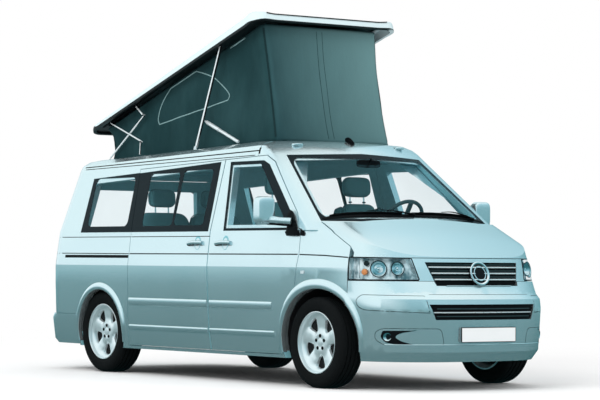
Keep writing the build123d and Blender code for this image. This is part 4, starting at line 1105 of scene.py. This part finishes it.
def shell_finish(name, under=False):
    """White lacquer with a black rubber band along the lower edge and at the rear tip; with under set, the
    underside is black all but its far skirt, painted shade under the raised shell.
    """
    s = Shader(name)
    x, z = s.math("SUBTRACT", s.x, SHELL_TAIL_X), s.math("SUBTRACT", s.z, SHELL_TAIL_Z)
    rise = s.math("SUBTRACT", s.math("MULTIPLY", z, math.cos(LIFT)), s.math("MULTIPLY", x, math.sin(LIFT)))
    along = s.math("ADD", s.math("MULTIPLY", z, math.sin(LIFT)), s.math("MULTIPLY", x, math.cos(LIFT)))
    if under:
        # painted shade: the underside is black, all but the far skirt.
        dark = s.span(s.y, 0.6, 0.66, 1.0, 0.0)
    else:
        edge = s.span(along, 2.5, 2.62, 0.021, 0.009)
        edge = s.math("ADD", edge, s.span(along, 0.16, 0.02, 0.0, 0.05))
        dark = s.math("LESS_THAN", rise, edge)
    skin_tone = s.mix(s.noise(30, 3), (0.6, 0.74, 0.77, 1), (0.66, 0.79, 0.82, 1))
    black = s.mix(s.noise(40, 3), (0.005, 0.007, 0.008, 1), (0.008, 0.01, 0.011, 1))
    return s.done(s.surface(Base_Color=s.mix(dark, skin_tone, black), Roughness=0.35, Specular_IOR_Level=0.2,
                            Normal=s.bump(s.noise(240, 2), 0.00003)))


rings = [shell_ring(inset, partial(top_rise, share)) for inset, share in (
    (0.0, 0.0), (0.0, 0.3), (0.0, 0.55), (0.004, 0.88), (0.013, 1), (0.05, 1), (0.1, 1), (0.16, 1), (0.24, 1),
    (0.36, 1), (0.5, 1), (0.62, 1), (0.696, 1))]
shell = make("shell_look", *stack(rings), shell_finish("shell_skin"), "roof", split=55, slot="roof_plastic")
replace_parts(shell, "roof_shell")
rings = [shell_ring(0.0, partial(top_rise, 0.0)), shell_ring(0.026, partial(top_rise, 0.0), 0.6),
         shell_ring(0.03, partial(ceiling, 0.012), 0.4)]
rings += [shell_ring(inset, partial(ceiling, 0.011), 0.0) for inset in (0.12, 0.3, 0.5, 0.696)]
make("shell_under", *stack(rings), shell_finish("shell_under", under=True), "roof", split=35, slot="roof_plastic")
for label, side in sides:
    run = [(shell_point(a, side * 0.598, shell_thick(a) - 0.011), Vector((math.sin(LIFT), 0, -math.cos(LIFT))))
           for a in [0.1 + 2.4 * k / 24 for k in range(25)]]
    strip(f"shell_rail_{label}", run, 0.022, black_plastic, "roof", height=0.003)
front_lip = [(shell_point(SHELL_LONG + 0.001 + 0.012 * ear(SHELL_LONG, y), y, top_rise(0.93, SHELL_LONG, y)),
              Vector((math.cos(LIFT), 0, math.sin(LIFT)))) for y in across(0.6, 20)]
strip("shell_front_lip", front_lip, 0.007, black_plastic, "roof", height=0.0015)


# ---------------------------------------------------------------- struts, links and gas springs
def two_tone(name, point, direction, edge):
    """Bright channel, its forward edge in shadow black: the border runs beside the bar's own axis."""
    s = Shader(name)
    beside = Vector((direction[1], -direction[0])).normalized()
    reach = s.math("ADD", s.math("MULTIPLY", s.math("SUBTRACT", s.x, point[0]), beside.x),
                   s.math("MULTIPLY", s.math("SUBTRACT", s.z, point[1]), beside.y))
    light = s.mix(s.noise(60, 3), (0.78, 0.84, 0.86, 1), (0.86, 0.91, 0.92, 1))
    dark = s.mix(s.noise(60, 3), (0.004, 0.005, 0.006, 1), (0.007, 0.008, 0.009, 1))
    return s.done(s.surface(Base_Color=s.mix(s.span(reach, edge - 0.0008, edge + 0.0008), light, dark),
        Metallic=0.3, Roughness=0.35))


STRUT_FOOT, STRUT_HEAD = (-0.45, 1.8442), (-0.104, 2.668)
LONG_ELBOW, SHORT_ELBOW = (-1.315, 2.157), (-1.309, 1.932)
for name, start, end, edge in (("roof_struts", STRUT_FOOT, STRUT_HEAD, 0.0035),
                               ("rear_long_links", (-1.853, 1.795), LONG_ELBOW, 0.0028),
                               ("rear_long_elbows", LONG_ELBOW, (-1.43, 2.237), 0.9),
                               ("rear_short_links", (-1.818, 2.111), SHORT_ELBOW, 0.0035),
                               ("rear_short_elbows", (-1.318, 1.814), SHORT_ELBOW, 0.0028)):
    way = (end[0] - start[0], end[1] - start[1])
    nodes[name].data.materials[0] = two_tone(name + "_metal", start, way, edge)

for name, (x, z), y, body in (
        ("strut_foot", STRUT_FOOT, 0.661, "struts"), ("strut_head", STRUT_HEAD, 0.661, "struts"),
        ("long_foot", (-1.853, 1.7955), 0.61, "long_links"), ("long_elbow", LONG_ELBOW, 0.623, "long_elbows"),
        ("long_head", (-1.43, 2.237), 0.623, "long_elbows"), ("short_head", (-1.818, 2.111), 0.636, "short_links"),
        ("short_elbow", SHORT_ELBOW, 0.649, "short_elbows")):
    radius, thick = (0.007, 0.003) if "elbow" in body or "short" in body else (0.008, 0.004)
    for label, side in sides:
        turned(f"{name}_pin_{label}", [(0.0004, -thick), (radius, -thick), (radius, 0.0), (radius * 0.7, 0.0012),
            (0.0004, 0.0016)], (x, side * y, z), (0, side, 0), gloss_black, body, count=20, slot="dark_steel")
# the small bracket that each strut stands in
for label, side in sides:
    foot = [(-0.472, 1.832), (-0.428, 1.832), (-0.432, 1.858), (-0.448, 1.868), (-0.464, 1.858)]
    flat = rounded(foot, 0.006, 3)
    points = [Vector((x, side * y, z)) for y in (0.662, 0.667) for x, z in flat]
    count = len(flat)
    make(f"strut_bracket_{label}", points,
         [tuple(range(count)), tuple(range(count, 2 * count))] + lattice(2, count), bright)

spring_foot = Vector((0.112, 0, 1.8809))
spring_eye = Vector((-0.362, 0, 2.066))
spring_way = (spring_eye - spring_foot).normalized()
sleeve_metal = metal("spring_sleeve", (0.86, 0.92, 0.94), 0.35, 0.5)
for label, side in sides:
    at = spring_foot + Vector((0, side * 0.626, 0))
    sleeve = [(0.0004, 0.2), (0.0048, 0.2002), (0.0048, 0.476), (0.0137, 0.4775), (0.0137, 0.295),
              (0.015, 0.2945), (0.0152, 0.296), (0.0152, 0.484), (0.012, 0.489), (0.007, 0.491),
              (0.007, 0.5088), (0.0004, 0.5088)]
    rod = turned(f"spring_rod_look_{label}", sleeve, at, spring_way, sleeve_metal, "spring_rods", count=32,
        split=35)
    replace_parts(rod, "spring_rods")
    tube_look = [(0.0004, 0.0), (0.0095, 0.0), (0.0125, 0.006), (0.013, 0.01), (0.013, 0.298), (0.012, 0.3),
                 (0.0106, 0.3), (0.0106, 0.012), (0.0004, 0.012)]
    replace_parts(turned(f"spring_tube_look_{label}", tube_look, at, spring_way, sleeve_metal, "spring_tubes",
        count=32, split=35), "spring_tubes")

# ---------------------------------------------------------------- canvas seams, window and vent
canvas_tree = BVHTree.FromPolygons([v.co.copy() for v in canvas.data.vertices],
                                   [tuple(p.vertices) for p in canvas.data.polygons])


def on_cloth(origin, direction):
    where, normal, _, _ = canvas_tree.ray_cast(Vector(origin), Vector(direction).normalized())
    if where is None:
        raise ValueError(f"no cloth along {origin}")
    return where, (normal if normal.dot(Vector(direction)) < 0 else -normal)


def seam(low, high, away):
    """Samples up the cloth between two points, cast from a little way off."""
    return [on_cloth(low.lerp(high, k / 30) + Vector(away), -Vector(away)) for k in range(1, 30)]


def below_shell(x):
    """Height just below the raised shell's foot."""
    return SHELL_TAIL_Z + (x - SHELL_TAIL_X) * math.tan(LIFT) - 0.006


HALF_MOON = [(-1.142, 2.073), (-1.165, 2.12), (-1.124, 2.208), (-1.023, 2.315), (-0.879, 2.415), (-0.685, 2.482),
             (-0.581, 2.486), (-0.39, 2.441), (-0.268, 2.39), (-0.148, 2.308), (-0.105, 2.263), (-0.129, 2.229)]
VENT = [(-0.09, 2.706), (0.047, 2.777), (0.117, 2.768), (0.118, 2.724), (-0.036, 2.658), (-0.093, 2.678)]
piping = plastic("canvas_piping", (0.2, 0.33, 0.34), 0.7, gloss=0.1)
for label, side in sides:
    arc = [p.to_2d() for p in curve_path([(x, z, 0) for x, z in HALF_MOON], 4)]
    for name, outline, width in (("canvas_window", rounded(arc, 0.01, 2), 0.01),
                                 ("canvas_vent", rounded(VENT, 0.03, 4), 0.011)):
        loop = [on_cloth((p.x, side * 1.2, min(p.y, below_shell(p.x))), (0, -side, 0))
                for p in resample(outline, 0.02, closed=True)]
        sewn(bead(f"{name}_{label}", loop, width, 0.0035, piping, closed=True))
    run = seam(base_point(0.5445, side * 0.5715), shell_point(2.539, side * 0.5715), (0.3, side * 0.3, 0))
    sewn(bead(f"canvas_corner_seam_{label}", run, 0.016, 0.0025, canvas_seam))
for name, y, width in (("canvas_front_seam_a", -0.045, 0.0035), ("canvas_front_seam_b", 0.01, 0.003)):
    run = seam(base_point(0.545, y), shell_point(2.54, y), (0.4, 0, 0))
    sewn(strip(name, run, width, canvas_seam, height=0.0008, sink=0.001))

# ---------------------------------------------------------------- roof lines, joint, aerial
for label, side in sides:
    for name, (x0, z0), (x1, z1), width in (("roof_line_upper", (-2.01, 1.7272), (0.6, 1.7935), 0.009),
                                            ("roof_line_lower", (-1.99, 1.709), (0.6, 1.7585), 0.006)):
        run = [on_side(side, x0 + (x1 - x0) * k / 40, z0 + (z1 - z0) * k / 40) for k in range(41)]
        strip(f"{name}_{label}", run, width, black_plastic)
    run = [on_side(side, 0.604, z) for z in (1.768, 1.78, 1.792, 1.804, 1.816)]
    strip(f"roof_joint_{label}", run, 0.02, black_plastic, height=0.0012)
pillow("aerial_foot", (0.742, 0.0, 1.862), (0.11, 0.046, 0.026), black_plastic, power=0.6, count=16)
tube("aerial_fin", curve_path([(0.79, 0, 1.866), (0.76, 0, 1.88), (0.728, 0, 1.894), (0.7, 0, 1.898)], 5),
     [0.01 + 0.006 * math.sin(k * 0.2) for k in range(16)], black_plastic, count=16, flat=1.5)
cap_tree = tree_of(["front_cap"])
for name, y in (("roof_catch", 0.5), ("roof_catch_near", -0.5)):
    place, _ = cast((0.735, y, 2.4), (0, 0, -1), cap_tree)
    pillow(name, place + Vector((0, 0, 0.004)), (0.06, 0.09, 0.022), body_paint, power=0.6, count=16)

# ---------------------------------------------------------------- cowl and wipers
FOOT = ((-0.78, 1.269), (-0.703, 1.281), (-0.575, 1.292), (-0.449, 1.298), (-0.317, 1.302), (-0.182, 1.304),
        (0.0, 1.305), (0.182, 1.304), (0.317, 1.302), (0.449, 1.298), (0.575, 1.292), (0.703, 1.281), (0.78, 1.269))


def foot_z(y):
    for (y0, z0), (y1, z1) in zip(FOOT, FOOT[1:]):
        if y <= y1:
            return z0 + (z1 - z0) * (y - y0) / (y1 - y0)
    return FOOT[-1][1]


screen_tree = tree_of(["windscreen", "screen_frame"])


def on_screen(y, rise):
    """The windscreen or its frame at a height above the screen's foot."""
    return cast((4, y, foot_z(y) + rise), (-1, 0, 0), screen_tree)


cowl = [on_screen(y, -0.014) for y in across(0.775, 20)]
bead("cowl_seal", cowl, 0.036, 0.006, black_plastic)
for name, y0, y1, pivot in (("wiper_near", -0.715, -0.085, 0.02), ("wiper_far", -0.02, 0.645, 0.7)):
    blade = [on_screen(y, -0.006 + 0.006 * math.sin(math.pi * (y - y0) / (y1 - y0)))
             for y in [y0 + (y1 - y0) * k / 16 for k in range(17)]]
    tube(f"{name}_blade", [p + n * 0.012 for p, n in blade], [0.004] + [0.0075] * 15 + [0.004], black_plastic,
         count=10)
    strip(f"{name}_rubber", blade, 0.005, tyre_rubber, height=0.009, slot="dark_plastic")
    middle = blade[8][0] + blade[8][1] * 0.026
    foot, out = cast((4, pivot if abs(pivot) < 0.6 else 0.66, foot_z(pivot) - 0.014), (-1, 0, 0), screen_tree)
    tube(f"{name}_arm", curve_path([foot + out * 0.012, foot.lerp(middle, 0.3) + out * 0.024,
                                    foot.lerp(middle, 0.7) + out * 0.024, middle], 4),
         [0.01 - 0.0005 * k for k in range(13)],
         black_plastic, count=10, flat=0.7)
    turned(f"{name}_boss", [(0.0004, 0.0), (0.015, 0.0), (0.014, 0.014), (0.009, 0.02), (0.0004, 0.021)], foot, out,
           black_plastic, count=20)

# ---------------------------------------------------------------- seats
def woven(name, dark, light):
    """Woven seat cloth in two close tones."""
    s = Shader(name)
    weave = s.math("MULTIPLY", s.noise(520, 2, stretch=(1, 1, 0.3)), s.noise(520, 2, stretch=(0.3, 0.3, 1)))
    return s.done(s.surface(Base_Color=s.mix(s.noise(9, 3), (*dark, 1), (*light, 1)), Roughness=0.9,
                            Specular_IOR_Level=0.08, Normal=s.bump(weave, 0.001, 0.6)))


seat_fabric = woven("seat_fabric", (0.06, 0.175, 0.195), (0.095, 0.25, 0.28))
seat_side = woven("seat_side", (0.035, 0.11, 0.125), (0.055, 0.155, 0.175))


def cushion(name, centre, size, tilt=0.0, channels=0, channel_axis=1, finish=seat_fabric, power=0.34, crown=0.1):
    """A crowned pad with sewn channels and piping round its widest line."""
    count = 32
    thin = min(range(3), key=lambda a: size[a])
    wide = [a for a in range(3) if a != thin]
    turn = Matrix.Rotation(tilt, 4, "Y")
    points = []
    for p in rounded_box(count, power, 0.6):
        swell = 1 + crown * (1 - p[wide[0]] ** 2) * (1 - p[wide[1]] ** 2)
        if channels:
            groove = abs(math.sin(math.pi * (p[channel_axis] + 1) / 2 * channels))
            swell -= 0.1 * (1 - min(1.0, groove / 0.22)) ** 2 * (1 - max(abs(p[w]) for w in wide) ** 6)
        p[thin] *= swell
        for w in wide:
            p[w] *= 1 - 0.025 * (1 - p[thin] ** 2 if abs(p[thin]) < 1 else 0)
        points.append(turn @ Vector(p[a] * size[a] / 2 for a in range(3)) + Vector(centre))
    make(name, points, lattice(count + 1, 2 * count), finish, split=70)
    loop = []
    for j in range(49):
        angle = 2 * math.pi * j / 48
        p = Vector((0, 0, 0))
        p[wide[0]] = bend(math.cos(angle), power) * size[wide[0]] / 2 * 0.985
        p[wide[1]] = bend(math.sin(angle), power) * size[wide[1]] / 2 * 0.985
        loop.append(turn @ p + Vector(centre))
    tube(name + "_piping", loop + loop[1:2], 0.0035, seat_side, count=8)


def block(name, x, y, z, material, edge, slot=None):
    points = [(a, b, c) for a in x for b in y for c in z]
    faces = [(0, 1, 3, 2), (4, 5, 7, 6), (0, 1, 5, 4), (2, 3, 7, 6), (0, 2, 6, 4), (1, 3, 7, 5)]
    return make(name, points, faces, material, bevel=edge, slot=slot)


LEAN, SEAT_Y = -0.19, 0.385
for label, side in sides:
    y = side * SEAT_Y
    base = block(f"seat_plinth_{label}", (0.51, 0.85), (y - 0.195, y + 0.195), (0.467, 0.745), dark_trim, 0.02)
    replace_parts(base, "front_seats")
    for edge, dy in (("inner", -0.15), ("outer", 0.15)):
        block(f"seat_rail_{edge}_{label}", (0.44, 0.915), (y + dy - 0.018, y + dy + 0.018), (0.74, 0.772),
              cast_iron, 0.004)
    cushion(f"seat_cushion_{label}", (0.69, y, 0.838), (0.49, 0.37, 0.13), channels=4, channel_axis=0)
    cushion(f"seat_back_{label}", (0.405, y, 1.12), (0.11, 0.35, 0.58), tilt=LEAN, channels=5, channel_axis=2)
    for edge, dy in (("inner", -0.205), ("outer", 0.205)):
        cushion(f"seat_bolster_{edge}_{label}", (0.69, y + dy, 0.842), (0.48, 0.085, 0.14),
                finish=seat_side, power=0.45, crown=0.05)
        cushion(f"back_bolster_{edge}_{label}", (0.415, y + dy * 0.96, 1.11), (0.125, 0.08, 0.54),
                tilt=LEAN, finish=seat_side, power=0.45, crown=0.05)
    cushion(f"headrest_{label}", (0.335, y, 1.54), (0.1, 0.25, 0.16), tilt=LEAN * 0.5, power=0.4)
    for edge, dy in (("inner", -0.07), ("outer", 0.07)):
        tube(f"headrest_post_{edge}_{label}", [(0.347, y + dy, 1.385), (0.343, y + dy, 1.43),
            (0.34, y + dy, 1.475)], 0.0065, chrome, count=12, slot="steel")
        turned(f"headrest_guide_{edge}_{label}", [(0.007, 0.0), (0.015, 0.0), (0.013, 0.01), (0.007, 0.012)],
               (0.347, y + dy, 1.412), (0, 0, 1), black_plastic, count=16)
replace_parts(block("bench_plinth", (-1.27, -0.81), (-0.43, 0.38), (0.467, 0.73), board, 0.012), "rear_bench")
BENCH_WIDTH = 0.525
for name, y in (("near", -0.375), ("far", 0.155)):
    cushion(f"bench_cushion_{name}", (-1.045, y, 0.812), (0.565, BENCH_WIDTH, 0.17), channels=4, channel_axis=0)
    cushion(f"bench_back_{name}", (-1.335, y, 1.09), (0.115, BENCH_WIDTH, 0.51), tilt=-0.2, channels=5,
            channel_axis=2)
    cushion(f"bench_headrest_{name}", (-1.388, y, 1.462), (0.095, 0.245, 0.15), tilt=-0.1, power=0.4)
    for edge, dy in (("inner", -0.065), ("outer", 0.065)):
        tube(f"bench_post_{edge}_{name}", [(-1.385, y + dy, 1.325), (-1.388, y + dy, 1.4)], 0.0065, chrome,
             count=12, slot="steel")

# ---------------------------------------------------------------- dashboard and steering wheel
tilt = math.radians(32)
boss = Vector((0.93, SEAT_Y, 1.255))
out = Vector((-math.cos(tilt), 0, math.sin(tilt)))
turned("steering_pad", [(0.0004, -0.02), (0.062, -0.018), (0.068, -0.006), (0.062, 0.004), (0.03, 0.01),
                        (0.0004, 0.011)], boss - out * 0.006, out, dark_trim, "steering_wheel", count=48)
for k, degrees in enumerate((0, 120, 240)):
    spin = Matrix.Rotation(math.radians(degrees), 4, out)
    arm = spin @ Vector((0, 0, 1)).cross(out).cross(out).normalized()
    tube(f"steering_spoke_{k}", [boss + arm * 0.055, boss + arm * 0.11 + out * 0.002, boss + arm * 0.18], 0.014,
         dark_trim, "steering_wheel", count=12, flat=0.6)
for name, y in (("indicator", 0.255), ("wiper", 0.515)):
    tube(f"{name}_stalk", [(1.01, SEAT_Y + (y - SEAT_Y) * 0.3, 1.205), (0.995, y, 1.225)], [0.007, 0.009],
         black_plastic, count=10)
pillow("instrument_hood", (1.125, SEAT_Y, 1.188), (0.2, 0.42, 0.095), dark_trim, power=0.5, count=24)
for name, y in (("speed", 0.45), ("revs", 0.32)):
    turned(f"dial_{name}", [(0.0004, 0.0), (0.048, 0.0), (0.052, 0.004), (0.048, 0.008), (0.045, 0.003),
                            (0.0004, 0.003)], (1.03, y, 1.186), (-1, 0, 0.25), black_plastic, count=32)
for name, y in (("far", 0.64), ("centre_far", 0.085), ("centre_near", -0.085), ("near", -0.64)):
    turned(f"vent_{name}", [(0.012, 0.0), (0.044, 0.0), (0.05, 0.006), (0.046, 0.012), (0.042, 0.004),
                            (0.012, 0.004)], (1.108, y, 1.105), (-1, 0, 0.3), black_plastic, count=32)
block("radio", (1.07, 1.092), (-0.092, 0.092), (1.0, 1.052), black_plastic, 0.004)
block("heater_panel", (1.078, 1.096), (-0.092, 0.092), (0.93, 0.985), black_plastic, 0.004)
for k in (-1, 0, 1):
    turned(f"heater_knob_{k + 1}", [(0.0004, 0.0), (0.02, 0.0), (0.018, 0.016), (0.0004, 0.018)],
           (1.08, k * 0.056, 0.957), (-1, 0, 0), bright, count=24)
tube("mirror_stalk", [(1.03, 0, 1.74), (1.012, 0, 1.722), (1.002, 0, 1.71)], 0.008, black_plastic, count=10)
pillow("cabin_mirror", (0.992, 0, 1.7), (0.03, 0.23, 0.062), black_plastic, power=0.5, count=20)

# ---------------------------------------------------------------- kitchen fronts
for k, (x0, x1) in enumerate(((-1.03, -0.68), (-0.67, -0.32), (-0.31, 0.045))):
    block(f"cabinet_door_{k}", (x0, x1), (0.462, 0.4705), (0.52, 0.9), board, 0.002)
    block(f"cabinet_drawer_{k}", (x0, x1), (0.462, 0.4705), (0.91, 1.08), board, 0.002)
    tube(f"cabinet_pull_{k}", [((x0 + x1) / 2 - 0.05, 0.452, 0.88), ((x0 + x1) / 2 + 0.05, 0.452, 0.88)], 0.005,
         bright, count=10)
    turned(f"cabinet_catch_{k}", [(0.0004, 0.0), (0.014, 0.0), (0.012, 0.008), (0.0004, 0.009)],
           ((x0 + x1) / 2, 0.462, 0.995), (0, -1, 0), bright, count=20)
block("worktop", (-1.06, 0.07), (0.455, 0.87), (1.1055, 1.125), dark_trim, 0.005, slot="cabinet_board")
turned("sink_rim", [(0.12, 0.0), (0.165, 0.0), (0.168, 0.004), (0.15, 0.006), (0.12, 0.002)], (-0.75, 0.665, 1.125),
       (0, 0, 1), bright, count=40, slot="steel")
turned("hob_ring", [(0.04, 0.0), (0.09, 0.0), (0.092, 0.01), (0.04, 0.008)], (-0.23, 0.665, 1.125), (0, 0, 1),
       cast_iron, count=32)


# ---------------------------------------------------------------- tail
def tail_finish(name):
    """Red lens with an amber band, a clear band low down, and fine ribs."""
    s = Shader(name)
    ribs = s.math("SINE", s.math("MULTIPLY", s.y, 700))
    amber_band = s.math("MULTIPLY", s.span(s.z, 0.952, 0.955), s.span(s.z, 1.03, 1.033, 1.0, 0.0))
    clear_band = s.math("MULTIPLY", s.span(s.z, 0.778, 0.781), s.span(s.z, 0.842, 0.845, 1.0, 0.0))
    tone = s.mix(amber_band, s.mix(s.noise(20, 2), (0.3, 0.006, 0.008, 1), (0.38, 0.01, 0.012, 1)),
                 (0.62, 0.22, 0.04, 1))
    tone = s.mix(clear_band, tone, (0.72, 0.76, 0.78, 1))
    return s.done(s.surface(Base_Color=tone, Roughness=0.15, Coat_Weight=1.0, Coat_Roughness=0.03,
                            Normal=s.bump(ribs, 0.0004)))


nodes["tail_lamps"].data.materials[0] = tail_finish("tail_lens")
for label, side in sides:
    strip(f"tail_lamp_edge_{label}", [on_back(side * 0.75, 0.708 + 0.404 * k / 10) for k in range(11)], 0.006,
          black_plastic)
    for k, z in enumerate((0.845, 0.953, 1.031)):
        strip(f"tail_lamp_divide_{k}_{label}", [on_back(side * (0.755 + 0.012 * i), z) for i in range(12)], 0.004,
              black_plastic)
recess = rounded([(-0.33, 0.69), (0.33, 0.69), (0.33, 0.915), (-0.33, 0.915)], 0.03, 4)
strip("plate_recess", [on_back(p.x, p.y) for p in resample(recess, 0.03, closed=True)], 0.006, black_plastic,
      "tailgate", closed=True)
handle = [on_back(y, 0.925) for y in across(0.19, 8)]
bead("tailgate_handle", handle, 0.046, 0.016, body_paint, "tailgate")
strip("tailgate_handle_grip", [(p + Vector((0, 0, -0.026)), n) for p, n in handle[2:-2]], 0.016, black_plastic,
      "tailgate", height=0.004)
for side in (-1, 1):
    turned(f"plate_lamp_{'near' if side < 0 else 'far'}", [(0.0004, 0.0), (0.016, 0.0), (0.013, 0.006),
        (0.0004, 0.007)], on_back(side * 0.12, 0.893)[0], (-1, 0, -0.3), lens, "tailgate", count=20)
lamp_bar = [on_back(y, 1.612) for y in across(0.16, 8)]
bead("high_brake_lamp", lamp_bar, 0.018, 0.006, red_lens, "tailgate")
blade = [on_back(-0.02 + 0.4 * k / 12, 1.205 + 0.1 * k / 12) for k in range(13)]
tube("rear_wiper_blade", [p + n * 0.01 for p, n in blade], 0.007, black_plastic, "tailgate", count=10)
foot, normal = on_back(0.0, 1.15)
tube("rear_wiper_arm", curve_path([foot + normal * 0.012, foot + Vector((-0.03, 0.03, 0.03)),
    blade[6][0] + blade[6][1] * 0.022], 5), [0.011, 0.01, 0.01, 0.009, 0.009, 0.008, 0.008, 0.007, 0.006, 0.005,
    0.005], black_plastic, "tailgate", count=10)
turned("rear_wiper_boss", [(0.0004, 0.0), (0.022, 0.0), (0.02, 0.014), (0.012, 0.02), (0.0004, 0.021)], foot,
    normal, black_plastic, "tailgate", count=24)
pipe = curve_path([(-1.12, 0.3, 0.33), (-1.17, 0.3, 0.29), (-1.26, 0.3, 0.266), (-1.5, 0.3, 0.262),
                   (-1.9, 0.36, 0.27), (-2.2, 0.46, 0.285), (-2.33, 0.48, 0.286)], 6)
tube("tail_pipe", pipe, 0.025, cast_iron, count=20, slot="dark_steel")
turned("exhaust_tip", [(0.0255, 0.0), (0.0285, 0.0), (0.029, 0.09), (0.027, 0.092), (0.0255, 0.085)],
       (-2.27, 0.471, 0.286), (-0.95, 0.12, 0.0), bright, count=28, slot="steel")

# ---------------------------------------------------------------- number plates
def plate_finish(name, y_half, z_mid, z_half):
    s = Shader(name)
    edge_y = s.span(s.math("ABSOLUTE", s.y), y_half - 0.006, y_half - 0.004)
    edge_z = s.span(s.math("ABSOLUTE", s.math("SUBTRACT", s.z, z_mid)), z_half - 0.006, z_half - 0.004)
    border = s.math("MAXIMUM", edge_y, edge_z)
    face = s.mix(s.noise(12, 2), (0.8, 0.84, 0.85, 1), (0.84, 0.87, 0.88, 1))
    return s.done(s.surface(Base_Color=s.mix(border, face, (0.01, 0.012, 0.013, 1)), Roughness=0.4))


nodes["front_plate"].data.materials[0] = plate_finish("front_plate_face", 0.26, 0.411, 0.055)
nodes["rear_plate"].data.materials[0] = plate_finish("rear_plate_face", 0.26, 0.8, 0.055)
